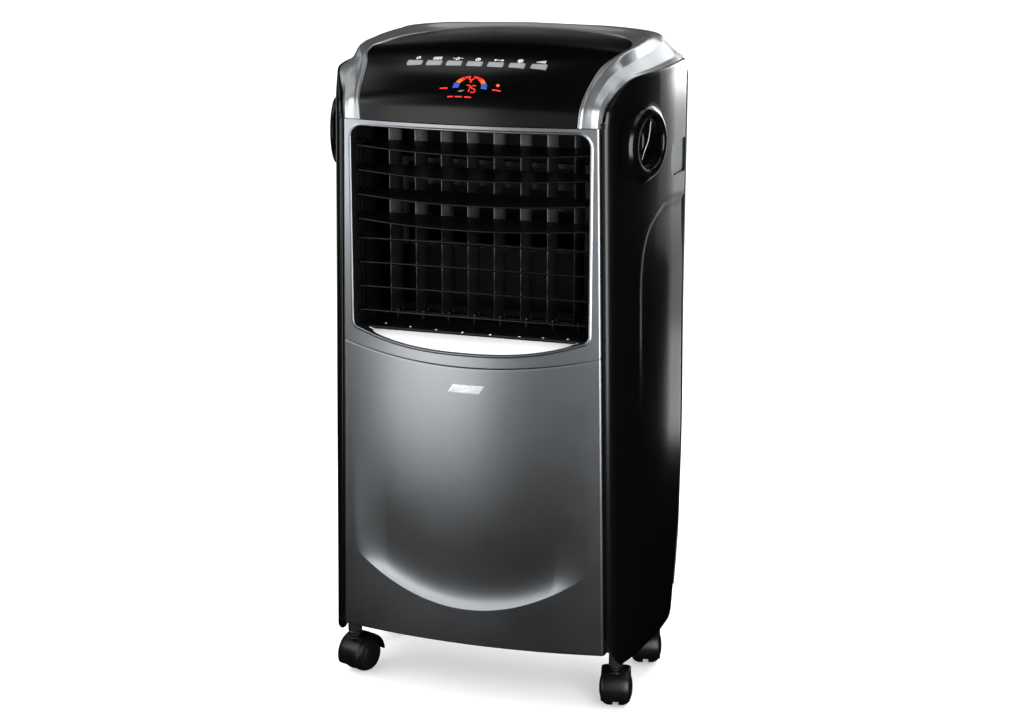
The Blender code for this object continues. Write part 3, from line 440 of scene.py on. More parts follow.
# ============================================================ materials
class Nodes:
    """Short names for building a node material around one Principled shader."""

    def __init__(self, name, rgb, rough, metal=0.0):
        self.m = bpy.data.materials.new(name)
        self.m.use_nodes = True
        self.t = self.m.node_tree
        self.b = self.t.nodes["Principled BSDF"]
        self.b.inputs["Base Color"].default_value = (*rgb, 1.0)
        self.b.inputs["Roughness"].default_value = rough
        self.b.inputs["Metallic"].default_value = metal
        self.co = self.add("ShaderNodeTexCoord").outputs["Object"]
        self.height = None

    def add(self, kind, **kw):
        n = self.t.nodes.new(kind)
        for k, val in kw.items():
            setattr(n, k, val)
        return n

    def link(self, a, b):
        self.t.links.new(a, b)

    def stretch(self, scale=(1, 1, 1), rot=(0, 0, 0)):
        n = self.add("ShaderNodeMapping")
        n.inputs["Scale"].default_value = scale
        n.inputs["Rotation"].default_value = rot
        self.link(self.co, n.inputs["Vector"])
        return n.outputs["Vector"]

    def noise(self, size_mm, detail=2.0, rough=0.5, vec=None, distort=0.0):
        n = self.add("ShaderNodeTexNoise")
        n.inputs["Scale"].default_value = 1000.0 / size_mm
        n.inputs["Detail"].default_value = detail
        n.inputs["Roughness"].default_value = rough
        n.inputs["Distortion"].default_value = distort
        self.link(vec or self.co, n.inputs["Vector"])
        return n.outputs["Fac"]

    def cells(self, size_mm, feature='F1', out="Distance", vec=None):
        n = self.add("ShaderNodeTexVoronoi", feature=feature)
        n.inputs["Scale"].default_value = 1000.0 / size_mm
        self.link(vec or self.co, n.inputs["Vector"])
        return n.outputs[out]

    def ramp(self, fac, stops, mode='LINEAR'):
        n = self.add("ShaderNodeValToRGB")
        n.color_ramp.interpolation = mode
        e = n.color_ramp.elements
        while len(e) > 1:
            e.remove(e[-1])
        e[0].position, e[0].color = stops[0][0], self.rgba(stops[0][1])
        for p, c in stops[1:]:
            x = e.new(p)
            x.color = self.rgba(c)
        self.link(fac, n.inputs["Fac"])
        return n.outputs["Color"]

    @staticmethod
    def rgba(c):
        return (c, c, c, 1.0) if isinstance(c, (int, float)) else (*c, 1.0)

    def range(self, fac, a, b, lo=0.0, hi=1.0):
        n = self.add("ShaderNodeMapRange")
        n.inputs["From Min"].default_value = lo
        n.inputs["From Max"].default_value = hi
        n.inputs["To Min"].default_value = a
        n.inputs["To Max"].default_value = b
        self.link(fac, n.inputs["Value"])
        return n.outputs["Result"]

    def math(self, op, a, b=None):
        n = self.add("ShaderNodeMath", operation=op)
        for s, x in ((0, a), (1, b)):
            if x is None:
                continue
            if isinstance(x, (int, float)):
                n.inputs[s].default_value = x
            else:
                self.link(x, n.inputs[s])
        return n.outputs[0]

    def mix(self, fac, a, b, blend='MIX'):
        n = self.add("ShaderNodeMix", data_type='RGBA', blend_type=blend)
        for s, x in (("Factor", fac), ("A", a), ("B", b)):
            sock = [q for q in n.inputs if q.name == s and (s == "Factor" and q.type == 'VALUE' or q.type == 'RGBA')][0]
            if isinstance(x, (int, float)):
                sock.default_value = x if sock.type == 'VALUE' else self.rgba(x)
            elif isinstance(x, tuple):
                sock.default_value = self.rgba(x)
            else:
                self.link(x, sock)
        return [q for q in n.outputs if q.type == 'RGBA'][0]

    def axis(self, k):
        n = self.add("ShaderNodeSeparateXYZ")
        self.link(self.co, n.inputs[0])
        return n.outputs[k]

    def color(self, c):
        self.link(c, self.b.inputs["Base Color"])

    def rough(self, r):
        self.link(r, self.b.inputs["Roughness"])

    def bump(self, h, mm, strength=1.0):
        n = self.add("ShaderNodeBump")
        n.inputs["Distance"].default_value = mm * MM
        n.inputs["Strength"].default_value = strength
        self.link(h, n.inputs["Height"])
        if self.height is not None:
            self.link(self.height, n.inputs["Normal"])
        self.height = n.outputs["Normal"]
        self.link(self.height, self.b.inputs["Normal"])

    def set(self, **kw):
        for k, val in kw.items():
            s = self.b.inputs[k.replace("_", " ")]
            s.default_value = (*val, 1.0) if isinstance(val, tuple) and len(val) == 3 and s.type == 'RGBA' else val


def silver(name, rgb, rough=0.3, metal=0.85, flake=0.10):
    k = Nodes(name, rgb, rough, metal)
    broad = k.noise(160, 2.0)
    fine = k.cells(0.45, out="Color")
    bw = k.add("ShaderNodeRGBToBW")
    k.link(fine, bw.inputs[0])
    tint = k.ramp(broad, [(0.3, tuple(c * 0.965 for c in rgb)), (0.7, tuple(min(1, c * 1.03) for c in rgb))])
    fl = k.range(bw.outputs[0], 1.0 - flake, 1.0 + flake)
    k.color(k.mix(1.0, tint, fl, 'MULTIPLY'))
    k.rough(k.math('ADD', k.range(k.noise(40, 3.0), rough - 0.02, rough + 0.03), k.range(bw.outputs[0], -0.015, 0.015)))
    k.bump(k.noise(5.0, 1.0), 0.010)
    k.bump(k.noise(0.6, 1.0), 0.0025)
    k.set(Coat_Weight=0.35, Coat_Roughness=0.12, Coat_IOR=1.45)
    return k.m


def gloss_black(name, rgb=(0.0065, 0.0068, 0.0072), rough=0.15, level=0.5, scale=1.0):
    k = Nodes(name, rgb, rough, 0.0)
    smear = k.noise(70 * scale, 4.0, 0.6, vec=k.stretch((1, 1, 0.35)))
    dust = k.cells(2.3)
    speck = k.ramp(dust, [(0.0, 1.0), (0.035, 1.0), (0.06, 0.0)])
    k.color(k.mix(k.math('MULTIPLY', speck, k.range(k.noise(60, 2.0), 0.0, 0.10, 0.45, 0.75)), rgb, (0.10, 0.10, 0.10)))
    k.rough(k.range(smear, rough * 0.92, rough * 1.15, 0.3, 0.75))
    k.bump(k.noise(14.0, 1.0), 0.0022)
    k.set(Specular_IOR_Level=level, IOR=1.5)
    return k.m


def grained(name, rgb, rough=0.5, grain=0.55, depth=0.05, metal=0.0, level=0.4):
    """Moulded plastic with a spark-eroded grain."""
    k = Nodes(name, rgb, rough, metal)
    g = k.cells(grain, feature='SMOOTH_F1')
    n = k.noise(grain * 1.6, 3.0, 0.6)
    both = k.math('ADD', g, n)
    broad = k.noise(55, 3.0)
    k.color(k.mix(k.range(broad, 0.0, 1.0, 0.3, 0.7), tuple(c * 0.85 for c in rgb), tuple(min(1, c * 1.18) for c in rgb)))
    k.rough(k.range(n, rough - 0.07, rough + 0.08, 0.3, 0.7))
    k.bump(both, depth)
    k.set(Specular_IOR_Level=level)
    return k.m


def steel(name, rgb=(0.56, 0.56, 0.57), rough=0.28):
    k = Nodes(name, rgb, rough, 1.0)
    lines = k.noise(0.8, 2.0, vec=k.stretch((1, 1, 18)))
    k.color(k.mix(k.range(k.noise(25, 3.0), 0.0, 1.0, 0.3, 0.7), tuple(c * 0.88 for c in rgb), rgb))
    k.rough(k.range(lines, rough - 0.06, rough + 0.12))
    k.bump(lines, 0.004)
    return k.m


M = {}
M["silver"] = silver("silver_lacquer", (0.41, 0.433, 0.456), 0.32, 1.0)
M["cover"] = silver("cover_lacquer", (0.49, 0.513, 0.53), 0.31, 0.88)
M["bright"] = silver("sill_bright", (0.86, 0.865, 0.87), 0.25, 0.05, 0.03)
M["badge"] = silver("badge_silver", (0.66, 0.67, 0.68), 0.28, 0.55, 0.05)
M["key"] = silver("key_lacquer", (0.42, 0.44, 0.45), 0.30, 0.55, 0.05)
M["black"] = gloss_black("side_gloss_black", (0.0014, 0.0015, 0.0017), 0.24)
M["panel"] = gloss_black("panel_gloss_black", (0.0010, 0.0010, 0.0012), 0.24)
M["grip"] = gloss_black("grip_gloss_black", (0.0014, 0.0014, 0.0016), 0.2, 0.5, 0.5)
M["blade"] = grained("blade_black", (0.0026, 0.0026, 0.003), 0.30, 0.5, 0.012, level=0.5)
# Vanes: dark grey plastic, with painted light up their height: lighter bands where light falls through the gap between
# the third and fourth louvres and at the top row, darker elsewhere; random mottling on top
k = Nodes("vane_grey", (0.02, 0.02, 0.021), 0.3)
vz = k.axis(2)
# painted light and shade: lit bands and darker stretches along the vane height (object z)
painted_light_bands = k.ramp(k.range(vz, 0.0, 1.0, 0.50, 0.76), [(0.0, (0.010, 0.010, 0.011)), (0.46, (0.026, 0.027, 0.028)), (0.50, (0.12, 0.122, 0.125)),
                                                (0.60, (0.10, 0.102, 0.105)), (0.64, (0.020, 0.020, 0.021)), (0.83, (0.018, 0.018, 0.019)),
                                                (0.88, (0.20, 0.205, 0.21)), (1.0, (0.16, 0.165, 0.17))])
k.color(k.mix(k.range(k.noise(18, 3.0), 0.0, 0.35, 0.35, 0.7), painted_light_bands, (0.012, 0.012, 0.012)))
k.rough(k.range(k.cells(0.5), 0.24, 0.36))
k.bump(k.cells(0.5), 0.01)
k.set(Specular_IOR_Level=0.5)
M["vane"] = k.m
M["matt"] = grained("inner_black", (0.004, 0.004, 0.0045), 0.55)
M["rear"] = grained("rear_black", (0.014, 0.014, 0.015), 0.48, 0.7, 0.06)
M["grey"] = grained("notch_grey", (0.115, 0.124, 0.132), 0.42, 0.5, 0.04)
M["caster"] = grained("caster_black", (0.0022, 0.0022, 0.0024), 0.33, 0.5, 0.015, level=0.5)
M["tyre"] = grained("caster_tyre", (0.0035, 0.0035, 0.0035), 0.5, 0.6, 0.03)
M["tank"] = grained("tank_grey", (0.30, 0.33, 0.35), 0.32, 0.9, 0.02, level=0.5)
M["steel"] = steel("motor_steel")
M["rubber"] = grained("gland_rubber", (0.014, 0.014, 0.014), 0.65, 0.4, 0.03)
M["heater"] = grained("heater_ceramic", (0.022, 0.022, 0.023), 0.6, 0.6, 0.05, 0.0)

k = Nodes("board_green", (0.01, 0.08, 0.03), 0.4)
tr = k.cells(3.2, feature='DISTANCE_TO_EDGE')
k.color(k.ramp(tr, [(0.0, (0.03, 0.16, 0.06)), (0.06, (0.03, 0.16, 0.06)), (0.09, (0.008, 0.07, 0.025))]))
k.bump(tr, 0.03)
M["pcb"] = k.m

k = Nodes("pad_cellulose", (0.30, 0.20, 0.11), 0.85)
wv = k.add("ShaderNodeTexWave", wave_type='BANDS', bands_direction='Z')
wv.inputs["Scale"].default_value = 45.0
wv.inputs["Distortion"].default_value = 2.5
wv.inputs["Detail"].default_value = 2.0
k.link(k.stretch((1, 1, 1), (0, math.radians(32), 0)), wv.inputs["Vector"])
fib = k.noise(1.2, 4.0, 0.7)
k.color(k.mix(wv.outputs["Fac"], (0.13, 0.08, 0.04), k.ramp(fib, [(0.3, (0.26, 0.17, 0.09)), (0.7, (0.40, 0.28, 0.16))])))
k.rough(k.range(fib, 0.75, 0.95))
k.bump(wv.outputs["Fac"], 2.0)
k.bump(fib, 0.2)
M["pad"] = k.m


def glow(name, rgb, strength):
    g = Nodes(name, tuple(c * 0.4 for c in rgb), 0.4)
    n = g.noise(1.4, 1.0)
    g.color(g.mix(g.range(n, 0.0, 1.0, 0.3, 0.7), tuple(c * 0.3 for c in rgb), tuple(c * 0.5 for c in rgb)))
    g.set(Emission_Color=rgb, Emission_Strength=strength)
    return g.m


def printed(name, rgb):
    g = Nodes(name, rgb, 0.45)
    n = g.noise(0.8, 2.0)
    g.color(g.mix(g.range(n, 0.0, 1.0, 0.3, 0.7), tuple(c * 0.85 for c in rgb), rgb))
    g.rough(g.range(n, 0.38, 0.5))
    return g.m


M["led_red"] = glow("led_red", (1.0, 0.022, 0.012), 1.0)
M["led_orange"] = glow("led_orange", (1.0, 0.15, 0.02), 0.8)
M["led_blue"] = glow("led_blue", (0.02, 0.12, 0.7), 0.42)
M["print"] = printed("printed_white", (0.86, 0.87, 0.88))
M["printdim"] = printed("printed_grey", (0.28, 0.28, 0.29))


# ============================================================ silver front
def arc_pts(cx, cz, r, a0, a1, n):
    return [(cx + r * math.cos(math.radians(lerp(a0, a1, i / n))), cz + r * math.sin(math.radians(lerp(a0, a1, i / n))))
            for i in range(n + 1)]


def opening_and_frame():
    """Matching points: outlet opening, outer edge of the frame, and which edge."""
    h, top, r = OPEN_HALF, OPEN_TOP, 16.0
    zt = Z_SEAM - 0.4
    inner, outer, side = [], [], []

    def put(p, q, s):
        inner.append(p)
        outer.append(q)
        side.append(s)
    nb = 70
    for i in range(nb + 1):                       # lower edge, left to right
        x = lerp(-(h - 9), h - 9, i / nb)
        s = x / (h - 9)
        put((x, arc_z(x)), (s * half_w(480), split_z(s * 175) + 0.4), 'B')
    z0 = arc_z(h - 9)
    n = 8
    for i in range(1, n + 1):                     # lower right corner
        a = math.radians(-90 + 90 * i / n)
        x, z = h - 9 + 9 * math.cos(a), z0 + 9 + 9 * math.sin(a)
        zz = lerp(split_z(175) + 0.4, 505, i / n)
        put((x, z), (half_w(zz), zz), 'R')
    nr = 60
    za = z0 + 9
    for i in range(1, nr + 1):                    # right side
        z = lerp(za, top - r, i / nr)
        zz = lerp(505, top - r, i / nr)
        put((h, z), (half_w(zz), zz), 'R')
    c = arc_pts(h - r, top - r, r, 0, 90, 12)
    for i in range(1, 7):
        zz = lerp(top - r, zt, i / 6)
        put(c[i], (half_w(zz), zz), 'R')
    w = half_w(zt)
    for i in range(7, 13):
        put(c[i], (lerp(w, h - r, (i - 6) / 6), zt), 'T')
    for i in range(1, nb + 1):
        x = lerp(h - r, -(h - r), i / nb)
        put((x, top), (x, zt), 'T')
    c = arc_pts(-h + r, top - r, r, 90, 180, 12)
    for i in range(1, 7):
        put(c[i], (lerp(-(h - r), -w, i / 6), zt), 'T')
    for i in range(7, 13):
        zz = lerp(zt, top - r, (i - 6) / 6)
        put(c[i], (-half_w(zz), zz), 'L')
    for i in range(1, nr + 1):
        z = lerp(top - r, za, i / nr)
        zz = lerp(top - r, 505, i / nr)
        put((-h, z), (-half_w(zz), zz), 'L')
    for i in range(1, n):
        a = math.radians(180 + 90 * i / n)
        x, z = -h + 9 + 9 * math.cos(a), z0 + 9 + 9 * math.sin(a)
        zz = lerp(505, split_z(175) + 0.4, i / n)
        put((x, z), (-half_w(zz), zz), 'L')
    return inner, outer, side


EDGE_R = 4.6            # rounding of the upright edges of the silver front


def front_frame_mesh():
    inner, outer, side = opening_and_frame()
    n = len(inner)
    cx, cz = 0.0, 620.0
    rings = []
    # outward direction in the plane of the opening at each point
    nrm = []
    for i in range(n):
        p, q = inner[(i - 1) % n], inner[(i + 1) % n]
        tx, tz = q[0] - p[0], q[1] - p[1]
        L = math.hypot(tx, tz) or 1.0
        nrm.append((tz / L, -tx / L))             # anticlockwise outline: right-hand side is outside
    # wall behind the opening, bead at its edge, then the face
    for back, off, raise_ in ((13.0, 0.3, 0), (6.0, 0.2, 0), (2.2, 0.0, 0), (1.0, -0.15, 0), (0.2, 0.25, 0), (-0.5, 0.9, 0),
                              (-0.8, 1.8, 0), (-0.55, 2.7, 0), (-0.05, 3.4, 0), (0.0, 4.2, 0)):
        ring = []
        for (x, z), (a, b) in zip(inner, nrm):
            xx, zz = x + a * off, z + b * off
            ring.append((xx, front_y(xx, zz) + back, zz))
        rings.append(ring)
    start = [(x + a * 4.2, z + b * 4.2) for (x, z), (a, b) in zip(inner, nrm)]
    m = 12
    for j in range(1, m + 1):
        ring = []
        for s, o, e in zip(start, outer, side):
            t = j / m
            w = half_w(o[1]) - EDGE_R
            ox = clamp(o[0], -w, w) if e in 'LR' else clamp(o[0], -w, w)
            oz = o[1] - (0.5 if e == 'T' else 0.0) + (0.5 if e == 'B' else 0.0)
            x, z = lerp(s[0], ox, t), lerp(s[1], oz, t)
            ring.append((x, front_y(x, z), z))
        rings.append(ring)
    last = rings[-1]
    for a in (18, 36, 54, 72, 90):
        ca, sa = math.cos(math.radians(a)), math.sin(math.radians(a))
        ring = []
        for p, o, e in zip(last, outer, side):
            w = half_w(p[2])
            k = sstep(w - EDGE_R - 6, w - EDGE_R, abs(p[0]))
            dx = math.copysign(EDGE_R * sa, p[0]) if e in 'LR' else math.copysign(EDGE_R * sa * k, p[0])
            dz = 0.0 if e in 'LR' else (0.5 * sa if e == 'T' else -0.5 * sa)
            R = EDGE_R if e in 'LR' else lerp(0.5, EDGE_R, k)
            ring.append((p[0] + dx, p[1] + R * (1 - ca), p[2] + dz))
        rings.append(ring)
    end = rings[-1]
    for d in (2.5, 9.0):
        rings.append([(p[0], p[1] + (d if e in 'LR' else min(d, 4.0)), p[2]) for p, e in zip(end, side)])
    return grid_bm(rings, (0, 0, 600), loop=True)


me = to_mesh(front_frame_mesh(), "front_frame_skin")
new_object("front_frame_skin", me, M["silver"], "cabinet", "front_frame", angle=50)


def lower_panel_mesh():
    n = 110
    rows = []
    for j in range(171):
        t = j / 170
        row = []
        for i in range(n + 1):
            s = -1 + 2 * i / n
            zl, zh = Z_FRONT_BOTTOM + 0.6, split_z(s * 175.0) - 0.4 - 0.6
            # rows crowd around the crease
            zc = smile_z(s * 165)
            if t < 0.2:
                z = lerp(zl, zc - 3, t / 0.2)
            elif t < 0.36:
                z = lerp(zc - 3, zc + 14, (t - 0.2) / 0.16)
            else:
                z = lerp(zc + 14, zh, ((t - 0.36) / 0.64))
            w = half_w(z) - EDGE_R
            x = s * w
            row.append((x, front_y(x, z) + scoop(x, z), z))
        rows.append(row)
    # round the upright edges
    out = []
    for row in rows:
        l, r = row[0], row[-1]
        w0 = []
        for a in (72, 54, 36, 18):
            ca, sa = math.cos(math.radians(a)), math.sin(math.radians(a))
            w0.append((EDGE_R * sa, EDGE_R * (1 - ca)))
        left = [(l[0] - EDGE_R, l[1] + EDGE_R + 9, l[2]), (l[0] - EDGE_R, l[1] + EDGE_R + 2, l[2]), (l[0] - EDGE_R, l[1] + EDGE_R, l[2])]
        left += [(l[0] - dx, l[1] + dy, l[2]) for dx, dy in w0]
        right = [(r[0] + dx, r[1] + dy, r[2]) for dx, dy in w0[::-1]]
        right += [(r[0] + EDGE_R, r[1] + EDGE_R, r[2]), (r[0] + EDGE_R, r[1] + EDGE_R + 2, r[2]), (r[0] + EDGE_R, r[1] + EDGE_R + 9, r[2])]
        out.append(left + row + right)
    top, bot = out[-1], out[0]
    for a in (30, 60, 90):
        ca, sa = math.cos(math.radians(a)), math.sin(math.radians(a))
        out.append([(p[0], p[1] + 0.6 * (1 - ca), p[2] + 0.6 * sa) for p in top])
        out.insert(0, [(p[0], p[1] + 0.6 * (1 - ca), p[2] - 0.6 * sa) for p in bot])
    out.append([(p[0], p[1] + 4.0, p[2]) for p in out[-1]])
    out.insert(0, [(p[0], p[1] + 7.0, p[2]) for p in out[0]])
    return grid_bm(out, (0, 0, 300))


me = to_mesh(lower_panel_mesh(), "lower_panel_skin")
new_object("lower_panel_skin", me, M["silver"], "cabinet", "lower_front_panel", angle=50)

# plain badge: a slanted silver plate with no lettering
bm = bmesh.new()
bx, bz, bw, bh, sl = 2.0, 432.0, 42.0, 11.0, 3.4
rows = []
for j, (inset, out_) in enumerate(((0.0, -0.1), (0.0, 0.35), (0.35, 0.7), (0.9, 0.8))):
    ring = []
    for i in range(25):
        x = lerp(-bw / 2 + inset, bw / 2 - inset, i / 24)
        ring.append((x, -bh / 2 + inset))
    for i in range(1, 7):
        ring.append((bw / 2 - inset, lerp(-bh / 2 + inset, bh / 2 - inset, i / 6)))
    for i in range(1, 25):
        ring.append((lerp(bw / 2 - inset, -bw / 2 + inset, i / 24), bh / 2 - inset))
    for i in range(1, 6):
        ring.append((-bw / 2 + inset, lerp(bh / 2 - inset, -bh / 2 + inset, i / 6)))
    row = []
    for x, z in ring:
        X, Z = bx + x + sl * z / bh * 2, bz + z
        row.append((X, front_y(X, Z) - out_ + scoop(X, Z), Z))
    rows.append(row)
badge = grid_bm(rows, (0, 0, 430), loop=True)
badge.faces.new([v_ for v_ in badge.verts[:]][-len(rows[0]):])
bmesh.ops.triangulate(badge, faces=[f for f in badge.faces if len(f.verts) > 4])
new_object("front_badge", to_mesh(badge, "front_badge"), M["badge"], "cabinet", angle=30)

# sill
rows = []
SILL = 140.0
for u in (0.0, 0.04, 0.08, 0.15, 0.3, 0.5, 0.7, 0.85, 0.93, 0.97, 1.0):
    row = []
    for i in range(81):
        x = lerp(-SILL, SILL, i / 80)
        f = front_y(x, 480) + 2.6
        z0 = arc_z(x) - 0.8
        z1 = max(493.6, z0 + 0.6)
        row.append((x, lerp(f, -117.2, u), lerp(z0, z1, u ** 0.8)))
    rows.append(row)
rows.insert(0, [(p[0], p[1] + 0.1, p[2] - 9) for p in rows[0]])
rows.append([(p[0], p[1] + 0.4, p[2] - 0.5) for p in rows[-1]])
rows.append([(p[0], p[1] + 0.2, p[2] - 10) for p in rows[-1]])
new_object("sill_skin", to_mesh(grid_bm(rows, (0, -125, 440)), "sill_skin"), M["bright"], "cabinet",
           "outlet_sill", angle=40)

# ============================================================ side panels
EMB = [(100, 652), (90, 650.5), (60, 653), (16, 654), (-6, 648), (-22, 640), (-38, 626), (-48, 608), (-53.5, 588), (-56, 560),
       (-56, 520), (-56, 470), (-56, 380), (-56, 300)]


def emb_curve():
    pts = []
    for i in range(0, (len(EMB) - 1) * 8 + 1):
        pts.append(spline(EMB, i / 8))
    return np.array(pts)


EMB_PTS = emb_curve()
_A, _B = EMB_PTS[:-1], EMB_PTS[1:]
_D = _B - _A
_L2 = (_D ** 2).sum(1)


def emboss(y, z):
    """Depth of the recessed field of the side panel (below and behind its curved edge)."""
    if y < -75 or z > 675 or z < 300:
        return 0.0
    p = np.array((y, z))
    t = np.clip(((p - _A) * _D).sum(1) / _L2, 0, 1)
    q = _A + _D * t[:, None]
    d2 = ((p - q) ** 2).sum(1)
    i = int(d2.argmin())
    d = math.sqrt(d2[i])
    cross = _D[i][0] * (p[1] - _A[i][1]) - _D[i][1] * (p[0] - _A[i][0])
    sd = d if cross > 0 else -d                  # positive on the lower, rear side of the edge
    fade = sstep(345, 560, z)
    return 3.2 * sstep(-8.0, 8.5, sd) * fade * (1 - 0.75 * sstep(14.0, 95.0, sd))


def side_fine(y0, z, sgn, sunk=True):
    y = y0 + rear_shift(z) * clamp(y0 / Y_REAR) ** 1.5
    x = side_x(y0, z)
    if sunk:
        x -= emboss(y0, z)
    return (sgn * x, y, z)


def handle_frame(sgn):
    e = 6.0
    x0, x1 = side_x(HANDLE_Y - e, HANDLE_Z), side_x(HANDLE_Y + e, HANDLE_Z)
    d = Vector((2 * e, -(x1 - x0), 0)).normalized()
    return (sgn * side_x(HANDLE_Y, HANDLE_Z), HANDLE_Y, HANDLE_Z), Vector((sgn * d.x, d.y, 0))


def along(c, n, h):
    return (c[0] + n.x * h, c[1] + n.y * h, c[2] + n.z * h)


ys = ([-125, -124.7, -124, -123, -121.5, -119.5, -117, -114, -110.5] + span(-107, 98, 80)
      + [100, 102, 104, 105.8, 107.5, 109, 110.2, 111.2, 111.8, 112])
zmid = span(140, 770, 184)
# outline of the finger notch near the rear edge: rounded towards the front
NOTCH = [(150, 684.6), (50, 684.6), (44, 685.0), (39.5, 686.6), (36.4, 689.6), (34.6, 693.5), (33.6, 699), (33.2, 706), (33.6, 714),
         (34.6, 719.5), (36.4, 723.6), (39.5, 726.6), (44, 728.2), (50, 728.6), (150, 728.6)]
low = [0, 0.01, 0.025, 0.05, 0.09, 0.14, 0.2, 0.28, 0.36, 0.44, 0.52, 0.62, 0.72, 0.82, 0.92]
high = [0.12, 0.24, 0.36, 0.48, 0.58, 0.66, 0.73, 0.78, 0.82, 0.86, 0.89, 0.92, 0.945, 0.965, 0.98, 0.99, 1.0]
for side, sgn in (("left", -1), ("right", 1)):
    rows = []
    for r in low:
        rows.append([side_fine(y, lerp(side_bottom(y), 140, r), sgn) for y in ys])
    for z in zmid:
        rows.append([side_fine(y, z, sgn) for y in ys])
    for r in high:
        rows.append([side_fine(y, lerp(770, side_top(y), r), sgn) for y in ys])
    bm = grid_bm(rows, (0, -20, 440))
    c, nrm = handle_frame(sgn)
    cw, nw = W(c), nrm
    kill = []
    for f in bm.faces:
        p = f.calc_center_median()
        q = p - cw
        rad = (q - nw * q.dot(nw)).length / MM
        if rad < 41.0:
            kill.append(f)
    bmesh.ops.delete(bm, geom=kill, context='FACES')
    me = process(bm, solid=2.4, bevel=0.6, segments=2, angle=50, cutters=(prism_bm(NOTCH, 'X', sgn * 195, sgn * 235),))
    new_object("side_skin_" + side, me, M["black"], "cabinet", "side_panel_" + side, angle=40)

    # hand grip: a thick rounded ring, its front side wider, around a deep cup
    wide = Vector((0, -1, 0))                    # towards the outlet
    ex = (wide - nrm * wide.dot(nrm)).normalized()
    ez = Vector((0, 0, 1))
    prof = [(58.0, -0.6, 0.0), (54.0, 0.1, 0.0), (49.5, 0.6, 0.0), (47.0, 1.2, 0.0), (45.4, 2.4, 0.0), (44.2, 4.0, 0.0), (43.0, 5.7, 0.0),
            (41.4, 7.2, 0.1), (39.4, 8.1, 0.3), (37.4, 8.3, 0.5), (35.6, 7.8, 0.75), (34.2, 6.7, 0.9), (33.2, 5.0, 1.0), (32.6, 2.6, 1.0),
            (32.3, 0.0, 1.0), (32.1, -6.0, 0.95), (31.8, -14.0, 0.85), (31.0, -19.5, 0.75), (29.0, -22.0, 0.7), (25.0, -23.2, 0.6),
            (12.0, -23.6, 0.3), (0.0, -23.8, 0.0)]
    ns = 112
    bm = bmesh.new()
    rings = []
    for r_, h_, k_ in prof:
        if r_ < 1e-6:
            rings.append([bm.verts.new(W(c) + nrm * (h_ * MM))])
            continue
        ring = []
        for i in range(ns):
            a = math.tau * i / ns
            front = 0.5 + 0.5 * math.cos(a)
            r2 = r_ - 6.5 * k_ * front ** 1.6
            if r_ > 46.0:
                r2 = 46.0 + (r_ - 46.0) * (0.35 + 0.95 * front)
            hh = h_ if r_ <= 47.5 else h_ - 0.9 * front
            ring.append(bm.verts.new(W(c) + (ex * (r2 * math.cos(a)) + ez * (r2 * math.sin(a)) + nrm * hh) * MM))
        rings.append(ring)
    for a_, b_ in zip(rings, rings[1:]):
        for i in range(ns):
            j = (i + 1) % ns
            if len(b_) == 1:
                bm.faces.new((a_[i], b_[0], a_[j]))
            else:
                bm.faces.new((a_[i], b_[i], b_[j], a_[j]))
    bmesh.ops.recalc_face_normals(bm, faces=bm.faces)
    new_object("grip_skin_" + side, to_mesh(bm, "grip_skin"), M["grip"], "cabinet", "handle_" + side, angle=60)

# ============================================================ top cover
BEAD = 6.0


def fillet(points, cuts, n=5):
    """Polyline with its inner corners rounded by quadratic curves."""
    out = [points[0]]
    for i in range(1, len(points) - 1):
        a, b, c_ = map(Vector, (points[i - 1], points[i], points[i + 1]))
        f = cuts[i - 1]
        p = b + (a - b) * f
        q = b + (c_ - b) * f
        for j in range(n + 1):
            t = j / n
            out.append(tuple((1 - t) ** 2 * p + 2 * t * (1 - t) * b + t * t * q))
    out.append(points[-1])
    return out


def cover_section(t):
    a, b, c_, d, e = [spline([row[k_] for row in COVER], t) for k_ in range(5)]
    if t >= 12.999:
        a, b, c_, d, e = [(0.0, p[1], p[2]) for p in (a, b, c_, d, e)]
    A, B, C, D, E = map(Vector, (a, b, c_, d, e))
    # a thin bead along the panel edge, then the crown
    ab = (B - A)
    up = Vector((0, -1, 0)).lerp(Vector((0, 0, 1)), clamp((t - 0.3) / 3.0)).normalized()
    L = max(ab.length, 1e-3)
    bead = []
    for s, h in ((0.0, -1.8), (0.02, -0.4), (0.08, 0.35), (0.25, 0.75), (0.5, 0.8), (0.75, 0.4), (0.9, -0.1), (1.0, -0.3)):
        bead.append(tuple(A + ab * (s * min(1.0, 5.2 / L)) + up * h))
    crown = fillet([bead[-1], tuple(A + ab * 0.95 + up * 0.1), tuple(C), tuple(D), tuple(E)], (0.45, 0.08, 0.12), 5)
    full = bead + crown[1:]
    # the rim's outer face
    o = (E - D)
    o.z = 0
    if o.length > 1e-6:
        o.normalize()
    full += [tuple(E + o * 0.5 + Vector((0, 0, -0.35))), tuple(E + o * 0.7 + Vector((0, 0, -1.2))),
             tuple(E + o * 0.6 + Vector((0, 0, -7.0)))]
    return full


ts = span(0, 9, 81) + span(9, 13, 52)[1:]
half = [cover_section(t) for t in ts]
left = [[(-p[0], p[1], p[2]) for p in r] for r in half[:-1]]
bm = grid_bm(half + left[::-1], (0, 0, 700), merge=1e-5)
new_object("cover_skin", to_mesh(bm, "cover_skin"), M["cover"], "cabinet", "top_cover", angle=38)

